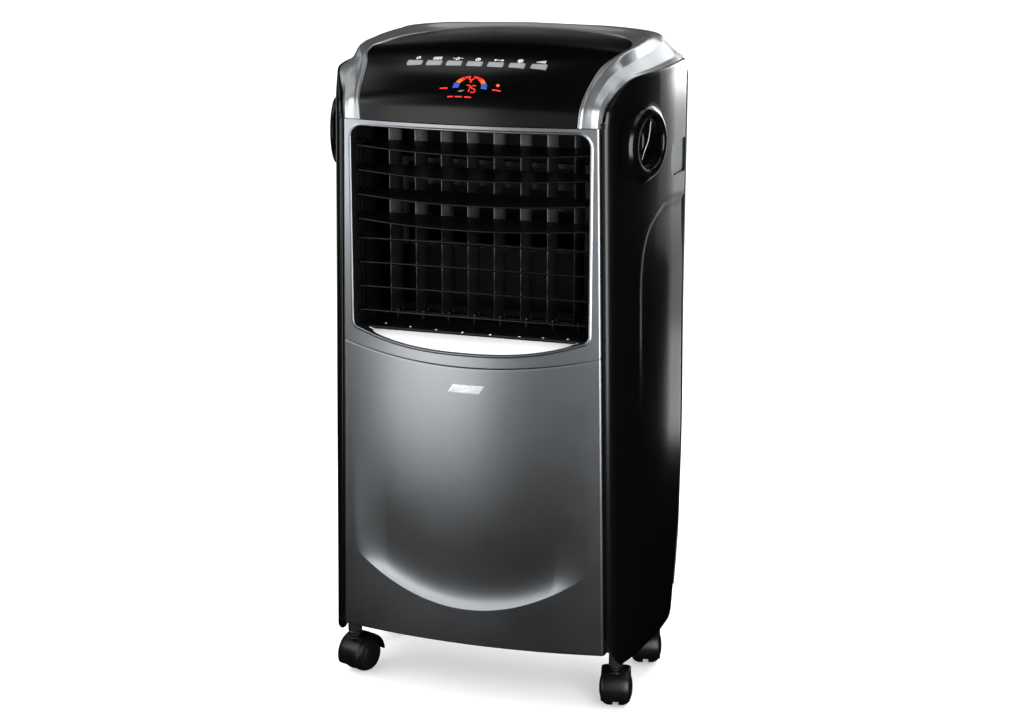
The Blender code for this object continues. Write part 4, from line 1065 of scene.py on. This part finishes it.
# ============================================================ control panel
pts = [0, 0.05, 0.12] + span(0.2, 9, 80) + span(9, 12.0, 24)[1:]
rows = []
for t in pts:
    rows.append([panel_point(t, -1 + 2 * i / 72) for i in range(73)])
bm = grid_bm(rows, (0, 20, 700))
cuts_ = bmesh.new()
places = []
for i in range(BUTTONS):
    x = (i - (BUTTONS - 1) / 2) * BUTTON_PITCH
    ky = key_y(x)
    z, t = panel_at(x, ky)
    z2, _ = panel_at(x, ky + 2.0)
    tilt = math.atan2(z2 - z, 2.0)
    up = Vector((0, -math.sin(tilt), math.cos(tilt)))
    back = Vector((0, math.cos(tilt), math.sin(tilt)))
    place = Matrix.Translation(W((x, ky, z))) @ Matrix((Vector((1, 0, 0)), back, up)).transposed().to_4x4()
    places.append(place)
    t_ = bmesh.new()
    bmesh.ops.create_cube(t_, size=1.0)
    for p in t_.verts:
        p.co = Vector((p.co.x * 20.8, p.co.y * 9.8, p.co.z * 16.0)) * MM
    bmesh.ops.bevel(t_, geom=[e_ for e_ in t_.edges if abs(e_.verts[0].co.z - e_.verts[1].co.z) > 0.001],
                    offset=1.5 * MM, segments=3, profile=0.5, affect='EDGES')
    add_bm(cuts_, t_, place)
me = process(bm, solid=2.4, bevel=0.0, cutters=(cuts_,))
new_object("panel_skin", me, M["panel"], "cabinet", "control_panel", angle=35)

# keys: pillowed caps with a rounded outline
for i, place in enumerate(places):
    bm = bmesh.new()
    rows = []
    for h, ins in ((-4.0, 0.0), (-1.0, 0.0), (0.75, 0.0), (1.05, 0.12), (1.25, 0.4), (1.38, 0.9), (1.42, 1.8)):
        ring = []
        a_, b_, r_ = 10.0 - ins, 4.5 - ins, max(0.5, 1.4 - ins)
        for cx_, cy_, a0 in ((a_ - r_, b_ - r_, 0), (-a_ + r_, b_ - r_, 90), (-a_ + r_, -b_ + r_, 180), (a_ - r_, -b_ + r_, 270)):
            for q in range(7):
                a = math.radians(a0 + 15 * q)
                ring.append((cx_ + r_ * math.cos(a), cy_ + r_ * math.sin(a), h))
        rows.append(ring)
    vv = [[bm.verts.new(Vector(p) * MM) for p in ring] for ring in rows]
    for a, b in zip(vv, vv[1:]):
        for j in range(len(a)):
            bm.faces.new((a[j], a[(j + 1) % len(a)], b[(j + 1) % len(a)], b[j]))
    bm.faces.new(vv[-1])
    bmesh.ops.recalc_face_normals(bm, faces=bm.faces)
    bmesh.ops.transform(bm, matrix=place, verts=bm.verts)
    new_object("key_cap_%d" % (i + 1), to_mesh(bm, "key_cap"), M["key"], "button_%d" % (i + 1),
               "button_%d" % (i + 1), angle=40)


# ---- display graphics and key symbols: thin films on the panel's face
def film_point(x, y, lift=0.08):
    z, t = panel_at(x, y)
    e = 0.5
    zx, _ = panel_at(x + e, y)
    zy, _ = panel_at(x, y + e)
    n = Vector((-(zx - z) / e, -(zy - z) / e, 1)).normalized()
    return Vector((x, y, z)) + n * lift


def film(name, quads, mat, lift=0.08):
    """Quads are lists of (x, s) with s measured up the panel from the display centre."""
    bm = bmesh.new()
    for q in quads:
        vs = [bm.verts.new(W(film_point(x, y_of(s), lift))) for x, s in q]
        bm.faces.new(vs)
    bmesh.ops.remove_doubles(bm, verts=bm.verts, dist=1e-6)
    bmesh.ops.recalc_face_normals(bm, faces=bm.faces)
    up = sum((f.normal.z for f in bm.faces))
    if up < 0:
        bmesh.ops.reverse_faces(bm, faces=bm.faces)
    new_object(name, to_mesh(bm, name), mat, "cabinet", angle=60)


# arc length up the panel against depth, on its middle line
_tab = []
for q in range(0, 481):
    t = q * 8.0 / 480
    m_ = spline(PANEL_MID, t)
    if _tab:
        _tab.append((m_[1], _tab[-1][1] + math.hypot(m_[1] - _last[0], m_[2] - _last[1])))
    else:
        _tab.append((m_[1], 0.0))
    _last = (m_[1], m_[2])
_ty = np.array([a for a, b in _tab])
_ts = np.array([b for a, b in _tab])


def y_of(s):
    return float(np.interp(s, _ts, _ty))


def s_of(y):
    return float(np.interp(y, _ty, _ts))


def stroke(lines, w, cx, s0, sx=1.0):
    """Short strokes of width w (mm) as quads; lines hold (x, s) polylines about (cx, s0)."""
    quads = []
    for ln in lines:
        for (xa, sa), (xb, sb) in zip(ln, ln[1:]):
            dx, ds = xb - xa, sb - sa
            L = math.hypot(dx, ds) or 1.0
            nx, ns = -ds / L * w / 2, dx / L * w / 2
            ex, es = dx / L * w * 0.25, ds / L * w * 0.25
            pts_ = [(xa - ex + nx, sa - es + ns), (xa - ex - nx, sa - es - ns), (xb + ex - nx, sb + es - ns), (xb + ex + nx, sb + es + ns)]
            quads.append([(cx + px * sx, s0 + ps) for px, ps in pts_])
    return quads


def ring_line(r, a0, a1, n=20, cx=0.0, cs=0.0):
    return [(cx + r * math.cos(math.radians(lerp(a0, a1, i / n))), cs + r * math.sin(math.radians(lerp(a0, a1, i / n))))
            for i in range(n + 1)]


S0 = s_of(-135.6)
CX = 4.6


def arc_block(a0, a1, r0, r1, n=3):
    out = []
    for i in range(n):
        b0, b1 = math.radians(lerp(a0, a1, i / n)), math.radians(lerp(a0, a1, (i + 1) / n))
        out.append([(CX + r0 * math.cos(b0), S0 + 0.84 * r0 * math.sin(b0)), (CX + r1 * math.cos(b0), S0 + 0.84 * r1 * math.sin(b0)),
                    (CX + r1 * math.cos(b1), S0 + 0.84 * r1 * math.sin(b1)), (CX + r0 * math.cos(b1), S0 + 0.84 * r0 * math.sin(b1))])
    return out


def span_of(k_, n, a0, a1, gap=1.6):
    d = (a1 - a0) / n
    return a0 + d * k_ + gap / 2, a0 + d * (k_ + 1) - gap / 2


blue, orange, red = [], [], []
for k_ in range(2):
    blue += arc_block(*span_of(k_, 2, -6, 20), 14.4, 22.0)
    blue += arc_block(*span_of(k_, 2, 160, 186), 14.4, 22.0)
for k_ in range(3):
    (orange if k_ < 2 else red).extend(arc_block(*span_of(k_, 3, 22, 58), 15.2, 21.0))
    (orange if k_ > 0 else red).extend(arc_block(*span_of(k_, 3, 122, 158), 15.2, 21.0))
for k_ in range(2):
    red += arc_block(*span_of(k_, 2, 60, 84), 16.8, 20.2)
    red += arc_block(*span_of(k_, 2, 96, 120), 16.8, 20.2)
# small fan figure inside the arc
for a in (30, 150, 270):
    ca, sa = math.cos(math.radians(a)), math.sin(math.radians(a))
    red += stroke([[(ca * 1.2, sa * 1.2), (ca * 3.4, sa * 3.4)]], 2.1, CX - 0.5, S0 + 10.6)
# two generic seven-segment digits
SEG = {'7': "abc", '5': "afgcd"}


def digit(ch, cx, s0, w=5.2, h=9.4, th=1.35):
    c_ = {'a': [(-w / 2, h), (w / 2, h)], 'g': [(-w / 2, h / 2), (w / 2, h / 2)], 'd': [(-w / 2, 0), (w / 2, 0)],
          'f': [(-w / 2, h), (-w / 2, h / 2)], 'b': [(w / 2, h), (w / 2, h / 2)], 'c': [(w / 2, h / 2), (w / 2, 0)]}
    out = []
    for sname in SEG[ch]:
        p, q = c_[sname]
        d = Vector((q[0] - p[0], q[1] - p[1]))
        e = d.normalized() * 0.75
        out.append([(p[0] + e.x, p[1] + e.y), (q[0] - e.x, q[1] - e.y)])
    lean = 0.10
    return stroke([[(x + lean * s, s) for x, s in ln] for ln in out], th, cx, s0)


red += digit('7', CX - 3.0, s_of(-139.6))
red += digit('5', CX + 4.6, s_of(-139.6))
for x, y, w in ((-28.7, -136.6, 9.5), (39.3, -136.2, 10.0), (-18.3, -142.2, 6.4), (-7.7, -142.3, 8.4), (4.2, -142.4, 8.0)):
    red += stroke([[(-w / 2, 0), (w / 2, 0)]], 1.5, x, s_of(y))
dot = []
r_ = 2.1
for q in range(8):
    a, b = math.radians(45 * q), math.radians(45 * (q + 1))
    dot.append([(39.6, s_of(-131.7)), (39.6 + r_ * math.cos(a), s_of(-131.7) + r_ * math.sin(a)),
                (39.6 + r_ * math.cos(b), s_of(-131.7) + r_ * math.sin(b))])
film("display_red", red, M["led_red"])
film("display_orange", orange + dot, M["led_orange"])
film("display_blue", blue, M["led_blue"])
film("display_fan_mark", stroke([ring_line(1.0, 0, 300, 8), [(1.6, 0.4), (3.8, 1.0)], [(-1.5, 0.2), (-3.6, -0.5)]], 0.7, -5.5, s_of(-139.0)),
     M["printdim"])

# pictograms above the keys: power, waves, drop, clock, swing, heat, fan
PIC = [
    [ring_line(2.0, 120, 420, 14), [(0, 0.4), (0, 2.6)]],
    [[(-5 + i * 0.5, 1.1 * math.sin(i * 0.9) + 1.4) for i in range(21)], [(-5 + i * 0.5, 1.1 * math.sin(i * 0.9) - 1.2) for i in range(21)]],
    [[(0, 2.9), (-1.7, 0.1), (-1.5, -1.3), (0, -2.1), (1.5, -1.3), (1.7, 0.1), (0, 2.9)], [(3.2, 1.0), (5.6, 1.0)], [(-3.2, 1.0), (-5.6, 1.0)]],
    [ring_line(2.3, 0, 360, 16), [(0, 1.5), (0, 0), (1.2, 0)]],
    [[(-5, 0), (5, 0)], [(-3.4, 1.4), (-5, 0), (-3.4, -1.4)], [(3.4, 1.4), (5, 0), (3.4, -1.4)]],
    [ring_line(1.3, 0, 360, 12)] + [[(math.cos(a) * 2.1, math.sin(a) * 2.1), (math.cos(a) * 3.2, math.sin(a) * 3.2)]
                                    for a in [math.radians(45 * q) for q in range(8)]],
    [[(-5, -1.6), (-5, -0.6)], [(-3, -1.6), (-3, 0.2)], [(-1, -1.6), (-1, 1.0)], [(1, -1.6), (1, 1.8)], [(3, -1.6), (3, 2.5)]],
]
marks = []
for i in range(BUTTONS):
    x = (i - (BUTTONS - 1) / 2) * BUTTON_PITCH
    marks += stroke([[(px, ps * 1.35) for px, ps in ln] for ln in PIC[i]], 1.05, x + 1.5, s_of(key_y(x)) + 9.9, 1.15)
film("key_symbols", marks, M["print"], lift=0.45)

# ============================================================ louvres, vanes
L_END_L, L_END_R = -152.6, 155.2


def blade_bm(z, tilt, k_lead=True):
    rows = []
    n = 48
    ca, sa = math.cos(tilt), math.sin(tilt)
    for i in range(n + 1):
        x = lerp(L_END_L, L_END_R, i / n)
        f = 13.0 + 19.0 * (1 - (x / 155.0) ** 2)
        sec = [(9.0, 0.35), (8.6, 0.8), (7.8, 0.95), (-f + 4.2, 0.8), (-f + 3.0, 0.95), (-f + 2.0, 1.2), (-f + 1.1, 1.2), (-f + 0.35, 0.8),
               (-f, 0.2), (-f, -0.2), (-f + 0.35, -0.8), (-f + 1.1, -1.2), (-f + 2.0, -1.2), (-f + 3.0, -0.95), (-f + 4.2, -0.8),
               (7.8, -0.95), (8.6, -0.8), (9.0, -0.35)]
        rows.append([(x, LOUVRE_Y + y * ca - h * sa, z + y * sa + h * ca) for y, h in sec])
    bm = bmesh.new()
    vv = [[bm.verts.new(W(p)) for p in row] for row in rows]
    for a, b in zip(vv, vv[1:]):
        for j in range(len(a)):
            bm.faces.new((a[j], a[(j + 1) % len(a)], b[(j + 1) % len(a)], b[j]))
    bm.faces.new(vv[0])
    bm.faces.new(vv[-1][::-1])
    bmesh.ops.recalc_face_normals(bm, faces=bm.faces)
    rod((L_END_L - 7.2, LOUVRE_Y, z), (L_END_L + 6, LOUVRE_Y, z), 1.7, 16, bm)
    rod((L_END_R - 6, LOUVRE_Y, z), (L_END_R + 4.6, LOUVRE_Y, z), 1.7, 16, bm)
    ky, kz = LOUVRE_Y + LOUVRE_CRANK * ca, z + LOUVRE_CRANK * sa
    rod((L_END_L - 3.6, ky, kz), (L_END_L + 6, ky, kz), 1.2, 14, bm)
    # reinforcing cheeks at both ends
    for x0, x1 in ((L_END_L - 0.2, L_END_L + 1.6), (L_END_R - 1.6, L_END_R + 0.2)):
        out = []
        for q in range(20):
            a = math.tau * q / 20
            out.append((9.0 * math.cos(a) * 0.9 + 0.5, 3.4 * math.sin(a)))
        prism_bm([(LOUVRE_Y + p * ca - h * sa, z + p * sa + h * ca) for p, h in out], 'X', x0, x1, bm)
    return bm


for i in range(LOUVRES):
    z = LOUVRE_TOP - LOUVRE_PITCH * i
    tilt = math.radians(LOUVRE_TILT if i < 4 else -LOUVRE_TILT)
    nm = "louvre_%d" % (i + 1)
    new_object("blade_" + nm, to_mesh(blade_bm(z, tilt), nm), M["blade"], nm, nm, angle=40)

V_Z0, V_Z1 = 500.5, 754.0
for i in range(VANES):
    x = (i - (VANES - 1) / 2) * VANE_PITCH
    sec = []
    n = 14
    for q in range(n + 1):
        t = q / n
        sec.append((lerp(-22, 21, t), 0.55 + 0.85 * math.sin(math.pi * t) ** 0.7))
    prof = [(-22.35, 0.0)] + sec + [(21.35, 0.0)] + [(a, -b) for a, b in sec[::-1]]
    rows = []
    for z, k_ in ((V_Z0 + 8.5, 0.55), (V_Z0 + 8.7, 0.85), (V_Z0 + 9.2, 1.0), (V_Z0 + 60, 1.0), (V_Z0 + 130, 1.0), (V_Z0 + 200, 1.0),
                  (V_Z1 - 0.7, 1.0), (V_Z1 - 0.2, 0.85), (V_Z1, 0.55)):
        rows.append([(x + b * k_, VANE_Y + a * (1 - (1 - k_) * 0.03), z) for a, b in prof])
    bm = bmesh.new()
    vv = [[bm.verts.new(W(p)) for p in row] for row in rows]
    for a, b in zip(vv, vv[1:]):
        for j in range(len(a)):
            bm.faces.new((a[j], a[(j + 1) % len(a)], b[(j + 1) % len(a)], b[j]))
    bm.faces.new(vv[0])
    bm.faces.new(vv[-1][::-1])
    bmesh.ops.recalc_face_normals(bm, faces=bm.faces)
    rod((x, VANE_Y, V_Z1 - 5), (x, VANE_Y, 759.0), 1.7, 16, bm)
    rod((x, VANE_Y, 495.4), (x, VANE_Y, V_Z0 + 14), 1.7, 16, bm)
    rod((x, VANE_Y, V_Z0 + 6.2), (x, VANE_Y, V_Z0 + 8.6), 3.6, 20, bm)
    rod((x, VANE_Y + VANE_CRANK, V_Z0 + 0.6), (x, VANE_Y + VANE_CRANK, V_Z0 + 14), 1.2, 14, bm)
    nm = "vane_%d" % (i + 1)
    new_object("blade_" + nm, to_mesh(bm, nm), M["vane"], nm, nm, angle=40)

# ============================================================ casters
for tag, cx, cy, phi in (("fl", -CASTER_X, CASTER_YF, 18.0), ("fr", CASTER_X, CASTER_YF, -14.0),
                         ("rl", -CASTER_X, CASTER_YR, 10.0), ("rr", CASTER_X, CASTER_YR, -17.0)):
    ph = math.radians(phi)
    d = Vector((math.sin(ph), math.cos(ph), 0))
    ax = Vector((math.cos(ph), -math.sin(ph), 0))
    wc = Vector((cx + TRAIL * d.x, cy + TRAIL * d.y, WHEEL_R))
    # hood: a rounded band over both wheels, swept from the trailing to the leading edge
    sec = [(25.9, -18.7), (26.6, -19.2), (27.4, -18.9), (28.1, -17.9), (28.7, -16.0), (29.15, -12.5), (29.35, -7.0), (29.4, 0.0)]
    sec = sec + [(r, -h) for r, h in sec[:-1][::-1]]
    inner = [(25.7, 17.6), (25.7, 0.0), (25.7, -17.6)]
    ringp = sec + inner
    rows = []
    a0, a1, n = 3.0, 201.0, 44
    for i in range(n + 1):
        t = i / n
        a = math.radians(lerp(a0, a1, t))
        e = min(t, 1 - t) * n
        pinch = 0.0 if e >= 1 else (1 - e)
        row = []
        for r, h in ringp:
            rr = lerp(r, 27.4, 0.28 * pinch)
            hh = h * (1 - 0.02 * pinch)
            p = wc + d * (rr * math.cos(a)) + Vector((0, 0, rr * math.sin(a))) + ax * hh
            row.append(tuple(p))
        rows.append(row)
    bm = bmesh.new()
    vv = [[bm.verts.new(W(p)) for p in row] for row in rows]
    for a, b in zip(vv, vv[1:]):
        for j in range(len(a)):
            bm.faces.new((a[j], a[(j + 1) % len(a)], b[(j + 1) % len(a)], b[j]))
    bm.faces.new(vv[0])
    bm.faces.new(vv[-1][::-1])
    bmesh.ops.recalc_face_normals(bm, faces=bm.faces)
    # web between the wheels and the axle boss
    web = []
    for i in range(41):
        a = math.radians(lerp(1.0, 203.0, i / 40))
        web.append((26.5 * math.cos(a), 26.5 * math.sin(a)))
    web += [(-9, -9.5), (0, -10.5), (9, -8)]
    lo, hi = -2.9, 2.9
    A_ = [bm.verts.new(W(wc + d * p + Vector((0, 0, q)) + ax * lo)) for p, q in web]
    B_ = [bm.verts.new(W(wc + d * p + Vector((0, 0, q)) + ax * hi)) for p, q in web]
    fs = [bm.faces.new(A_), bm.faces.new(B_[::-1])]
    for i in range(len(web)):
        j = (i + 1) % len(web)
        fs.append(bm.faces.new((A_[i], B_[i], B_[j], A_[j])))
    bmesh.ops.recalc_face_normals(bm, faces=fs)
    # neck: waisted collar with a flat washer, then the stem
    turned([(0, 50.0), (10.2, 50.0), (10.6, 50.8), (10.4, 51.6), (9.6, 52.2), (6.2, 52.4), (5.0, 53.0), (4.9, 60.4), (4.9, 84.0),
            (0, 84.0)], 36, (cx, cy, 0), (0, 0, 1), bm)
    ringb = turned([(5.0, 52.8), (6.4, 52.8), (6.8, 53.2), (8.9, 58.6), (9.0, 59.4), (8.6, 59.9), (5.0, 60.0), (5.0, 52.8)], 48,
                   (cx, cy, 0), (0, 0, 1))
    new_object("caster_cone_" + tag, to_mesh(ringb, "cone_" + tag), M["steel"], "caster_" + tag, angle=40)
    me = to_mesh(bm, "hood_" + tag)
    new_object("caster_hood_" + tag, me, M["caster"], "caster_" + tag, "caster_%s_hood" % tag, angle=40)
    wheel = [(0, 22.0), (5, 21.85), (9.5, 21.3), (13.2, 20.4), (15.6, 19.4), (16.3, 18.8), (16.7, 18.1), (17.6, 17.9), (19.4, 17.4),
             (21.0, 16.3), (22.3, 14.4), (23.2, 12.2), (23.8, 10.1), (24.0, 8.8), (24.0, 7.7), (23.6, 7.4), (23.6, 6.9), (24.0, 6.6),
             (24.0, 4.9), (23.7, 4.2), (23.0, 3.9), (3.0, 3.9), (3.0, 0.0)]
    prof = wheel + [(r, -h) for r, h in wheel[:-1][::-1]]
    bm = turned(prof, 64, tuple(wc), tuple(ax))
    new_object("caster_tyres_" + tag, to_mesh(bm, "wheels_" + tag), M["tyre"], "caster_%s_wheels" % tag,
               "caster_%s_wheels" % tag, angle=35)


# ============================================================ softened copies of plain CAD pieces
def softened(node, mat, bevel=0.6, segments=2, angle=35, name=None, limit=30):
    src = frame["nodes"][node]
    body = src["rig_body"]
    bm = bmesh.new()
    bm.from_mesh(src.data)
    bmesh.ops.remove_doubles(bm, verts=bm.verts, dist=1e-6)
    bmesh.ops.dissolve_limit(bm, angle_limit=math.radians(0.6), verts=bm.verts, edges=bm.edges)
    me = process(bm, bevel=bevel, segments=segments, angle=limit)
    return new_object(name or node + "_skin", me, mat, body, node, angle=angle)


softened("rear_panel", M["rear"], 1.6, 3)
softened("water_tank", M["tank"], 1.2, 2)
softened("tank_latch", M["grey"], 0.9, 2)
softened("base_tray", M["rear"], 0.9, 2)
softened("cord_gland", M["rubber"], 0.6, 2)
softened("pump", M["matt"], 0.9, 2)
softened("fan_motor", M["steel"], 1.0, 2)
softened("swing_motor", M["steel"], 0.8, 2)
softened("heater", M["heater"], 0.4, 1)
softened("control_board", M["pcb"], 0.2, 1)
softened("water_distributor", M["matt"], 0.6, 2)

CARRIED = {"air_duct": "matt", "vane_link": "blade", "louvre_link_upper": "blade", "louvre_link_lower": "blade",
           "blower_housing": "matt", "blower_wheel": "matt", "cooling_pad": "pad", "water_pipe": "grey",
           "filter_frame": "grey"}
for node, key in CARRIED.items():
    ob = frame["nodes"][node]
    for s_ in ob.material_slots:
        s_.material = M[key]

# ---- rear details: netting behind the grille, screws, blank plate
net = bmesh.new()
for i in range(1, 61):
    x = -168 + 336 * i / 61
    yb = rear_y(330) + 8.4
    rows = []
    zs_ = span(342, 782, 14)
    a = [net.verts.new(W((x - 0.25, rear_y(z) + 8.0, z))) for z in zs_]
    b = [net.verts.new(W((x + 0.25, rear_y(z) + 8.0, z))) for z in zs_]
    for p in range(len(zs_) - 1):
        net.faces.new((a[p], b[p], b[p + 1], a[p + 1]))
for i in range(1, 81):
    z = 342 + 440 * i / 81
    y = rear_y(z) + 8.1
    v_ = [net.verts.new(W(p)) for p in ((-167, y, z - 0.25), (167, y, z - 0.25), (167, y, z + 0.25), (-167, y, z + 0.25))]
    net.faces.new(v_)
new_object("filter_net", to_mesh(net, "filter_net"), M["matt"], "filter", angle=30)


def screw(bm, x, z, r=3.4):
    y = rear_y(z) + REAR_DEPTH
    turned([(0, 1.1), (r * 0.55, 1.05), (r * 0.85, 0.7), (r, 0.1), (r, -0.6), (0, -0.6)], 24, (x, y, z), (0, 1, 0), bm)
    return bm


def cross(bm, x, z, r=3.4):
    y = rear_y(z) + REAR_DEPTH
    box_bm(x - 0.35, x + 0.35, y + 0.9, y + 1.16, z - r * 0.5, z + r * 0.5, bm)
    box_bm(x - r * 0.5, x + r * 0.5, y + 0.9, y + 1.16, z - 0.35, z + 0.35, bm)
    return bm


heads, slots_ = bmesh.new(), bmesh.new()
for x, z in ((-196, 300), (196, 300), (-196, 813), (196, 813), (-100, 813), (100, 813), (-186, 120), (186, 118), (-60, 292), (60, 292)):
    screw(heads, x, z)
    cross(slots_, x, z)
new_object("rear_screws", to_mesh(heads, "rear_screws"), M["steel"], "cabinet", angle=35)
new_object("rear_screw_slots", to_mesh(slots_, "slots"), M["matt"], "cabinet", angle=35)
plate = bmesh.new()
rows = []
for q in range(9):
    z = lerp(262, 292, q / 8)
    rows.append([(x, rear_y(z) + REAR_DEPTH + 0.25, z) for x in span(-150, -86, 8)])
new_object("blank_rating_plate", process(grid_bm(rows, (0, 0, 400)), solid=0.2, bevel=0.08), M["steel"], "cabinet", angle=35)


# ---- small trim: inner walls beside the duct, bright rods in the cups as a painted glint, white sill pins as painted glints, rear lips
walls = bmesh.new()
for sx_ in (-1, 1):
    box_bm(min(sx_ * 161.0, sx_ * 160.2), max(sx_ * 161.0, sx_ * 160.2), -40.0, 55.0, 488.0, 764.0, walls)
new_object("inner_walls", to_mesh(walls, "inner_walls"), M["matt"], "cabinet", angle=30)

# Thin bright rods along a curve inside each grip cup: a painted glint on the gloss-black cup wall
CUP_GLINT_LINE = [(205.1, -32.0, 763.0), (202.6, -24.5, 756.5), (201.7, -21.6, 752.5), (200.1, -18.7, 745.8), (198.8, -17.4, 739.3),
            (197.1, -17.6, 733.0), (195.2, -18.9, 727.1), (194.0, -22.0, 721.0), (193.6, -27.6, 714.7)]
for tag, sx_ in (("left", -1), ("right", 1)):
    bm = bmesh.new()
    fine = [spline(CUP_GLINT_LINE, q / 3.0) for q in range(25)]
    for p, q in zip(fine, fine[1:]):
        rod((p[0] * sx_, p[1], p[2]), (q[0] * sx_, q[1], q[2]), 0.42, 8, bm, 0.0)
    new_object("cup_glint_line_" + tag, to_mesh(bm, "cup_glint_line"), M["bright"], "cabinet", angle=60)

# Small flat pins on the sill's rear edge; their bright white colour is a painted highlight, so they show as glints
pins = bmesh.new()
for x, y in ((-125.8, -97.7), (-88.0, -107.5), (-50.5, -112.8), (-14.1, -115.2), (23.5, -115.6), (61.7, -113.9), (92.0, -110.8), (123.5, -108.5)):
    turned([(0, 0.75), (0.8, 0.7), (1.4, 0.45), (1.7, 0.0), (1.7, -0.4), (0, -0.4)], 20, (x, y, 497.0), (0, 0, 1), pins)
new_object("sill_glint_pins", to_mesh(pins, "sill_glint_pins"), M["bright"], "cabinet", angle=40)

for tag, sx_ in (("left", -1), ("right", 1)):
    rows = []
    for z in span(112, 822, 56):
        xo, yo = side_x(96.0, z) - 1.4 - 3.0 * clamp((z - 812.0) / 10.0) ** 2, rear_y(z)
        sec = [(xo - 9.0, yo + 0.8), (xo - 1.2, yo + 0.8), (xo - 0.3, yo + 1.2), (xo, yo + 2.4), (xo - 0.3, yo + 3.8), (xo - 1.4, yo + 4.8),
               (xo - 9.0, yo + 5.2)]
        rows.append([(p * sx_, q, z) for p, q in sec])
    bm = grid_bm(rows, (0, yo + 2, 500), loop=True)
    new_object("rear_lip_" + tag, to_mesh(bm, "rear_lip"), M["black"], "cabinet", angle=40)


# ============================================================ floor, light, camera
def stage_plane(name, half, z, mat):
    me = bpy.data.meshes.new(name)
    n = 24
    vs = [(lerp(-half, half, i / n), lerp(-half, half, j / n), z) for j in range(n + 1) for i in range(n + 1)]
    fs = [(j * (n + 1) + i, j * (n + 1) + i + 1, (j + 1) * (n + 1) + i + 1, (j + 1) * (n + 1) + i) for j in range(n) for i in range(n)]
    me.from_pydata(vs, [], fs)
    ob = bpy.data.objects.new(name, me)
    COL.objects.link(ob)
    me.materials.append(mat)
    return ob


k = Nodes("floor_white", (0.93, 0.93, 0.93), 0.85)
k.color(k.ramp(k.noise(900, 2.0), [(0.3, (0.925, 0.926, 0.928)), (0.7, (0.94, 0.94, 0.94))]))
k.set(Specular_IOR_Level=0.0, Emission_Color=(1.0, 1.0, 1.0), Emission_Strength=0.3)
floor = stage_plane("floor", 40.0, 0.0, k.m)


def soft_light(name, loc, target, sx, sy, radiance, rgb=(1, 1, 1), glossy=True, diffuse=True):
    """Rectangular light given by its brightness, seen only by its light."""
    ld = bpy.data.lights.new(name, 'AREA')
    ld.shape = 'RECTANGLE'
    ld.size, ld.size_y = sx, sy
    ld.energy = radiance * math.pi * sx * sy
    ld.color = rgb
    ob = bpy.data.objects.new(name, ld)
    COL.objects.link(ob)
    ob.location = loc
    ob.rotation_euler = (Vector(target) - Vector(loc)).to_track_quat('-Z', 'Y').to_euler()
    ob.visible_glossy = glossy
    ob.visible_diffuse = diffuse
    ob.visible_camera = False
    return ob


def upright(name, az_deg, dist, z0, z1, width, radiance, **kw):
    """Soft light standing around the cooler, facing its middle."""
    a = math.radians(az_deg)
    x, y, z = math.sin(a) * dist, -math.cos(a) * dist, (z0 + z1) / 2
    return soft_light(name, (x, y, z), (0, 0, z), width, z1 - z0, radiance, **kw)


world = bpy.data.worlds.new("studio")
SCENE.world = world
world.use_nodes = True
world.node_tree.nodes["Background"].inputs["Color"].default_value = (1.0, 1.0, 1.0, 1)
world.node_tree.nodes["Background"].inputs["Strength"].default_value = 1.12
world.cycles_visibility.glossy = False
floor.visible_glossy = False

upright("front_left", -26, 1.35, 0.05, 1.0, 0.66, 1.6)
upright("front_high", -46, 1.35, 1.0, 1.7, 0.6, 0.36)
upright("left_edge", -58, 1.35, 0.44, 1.40, 0.5, 2.7)
upright("front_low", -24, 1.30, 0.02, 0.30, 0.6, 0.6)
upright("front_right", 2, 1.35, 0.12, 1.0, 0.55, 0.30)
upright("right_edge", 41, 1.35, 0.12, 1.2, 0.55, 6.0)
upright("right_back_a", 161, 1.25, 0.67, 1.15, 0.38, 7.5)
upright("right_back_b", 162, 1.25, 0.46, 0.67, 0.36, 1.5)
upright("right_back_c", 163, 1.25, 0.22, 0.46, 0.36, 0.65)
upright("right_back_d", 163, 1.25, 0.0, 0.22, 0.36, 1.4)
upright("right_fill", 145, 1.3, 0.40, 1.15, 0.40, 0.38)
upright("left_back", -125, 1.5, 0.1, 0.9, 0.3, 0.8)
soft_light("cover_back", (0.55, 1.36, 1.80), (0.19, 0, 0.84), 0.34, 1.0, 2.0)
soft_light("right_high", (0.91, -0.27, 1.86), (0.17, -0.10, 0.81), 0.75, 0.46, 1.15)
soft_light("right_over", (0.66, 0.45, 1.94), (0.18, -0.07, 0.825), 0.6, 0.5, 1.2)
soft_light("left_high", (-1.205, 0.05, 1.57), (-0.163, -0.1, 0.81), 0.8, 0.75, 0.7)
soft_light("top_left", (-0.54, 0.38, 2.03), (-0.04, 0.11, 0.865), 0.6, 0.6, 0.65)
soft_light("back_low", (-0.75, 2.2, 1.2), (0, 0, 0.86), 2.2, 0.3, 0.18)
soft_light("top_fill", (-0.1, -0.55, 2.1), (0, -0.05, 0.8), 1.3, 0.9, 1.2, glossy=False)

SCENE.view_settings.view_transform = 'Standard'

az, el, dist = math.radians(19.06), math.radians(14.15), 2.61237
target = Vector((0.00451, Y_SHIFT * MM, 0.42979))
cam_data = bpy.data.cameras.new("camera")
cam = bpy.data.objects.new("camera", cam_data)
COL.objects.link(cam)
cam.location = target + Vector((math.sin(az) * math.cos(el), -math.cos(az) * math.cos(el), math.sin(el))) * dist
cam.rotation_euler = (target - cam.location).to_track_quat('-Z', 'Y').to_euler()
cam_data.sensor_width = 36.0
cam_data.lens = 36.0 * 1971.2 / 1012.0
cam_data.clip_end = 200.0
SCENE.camera = cam
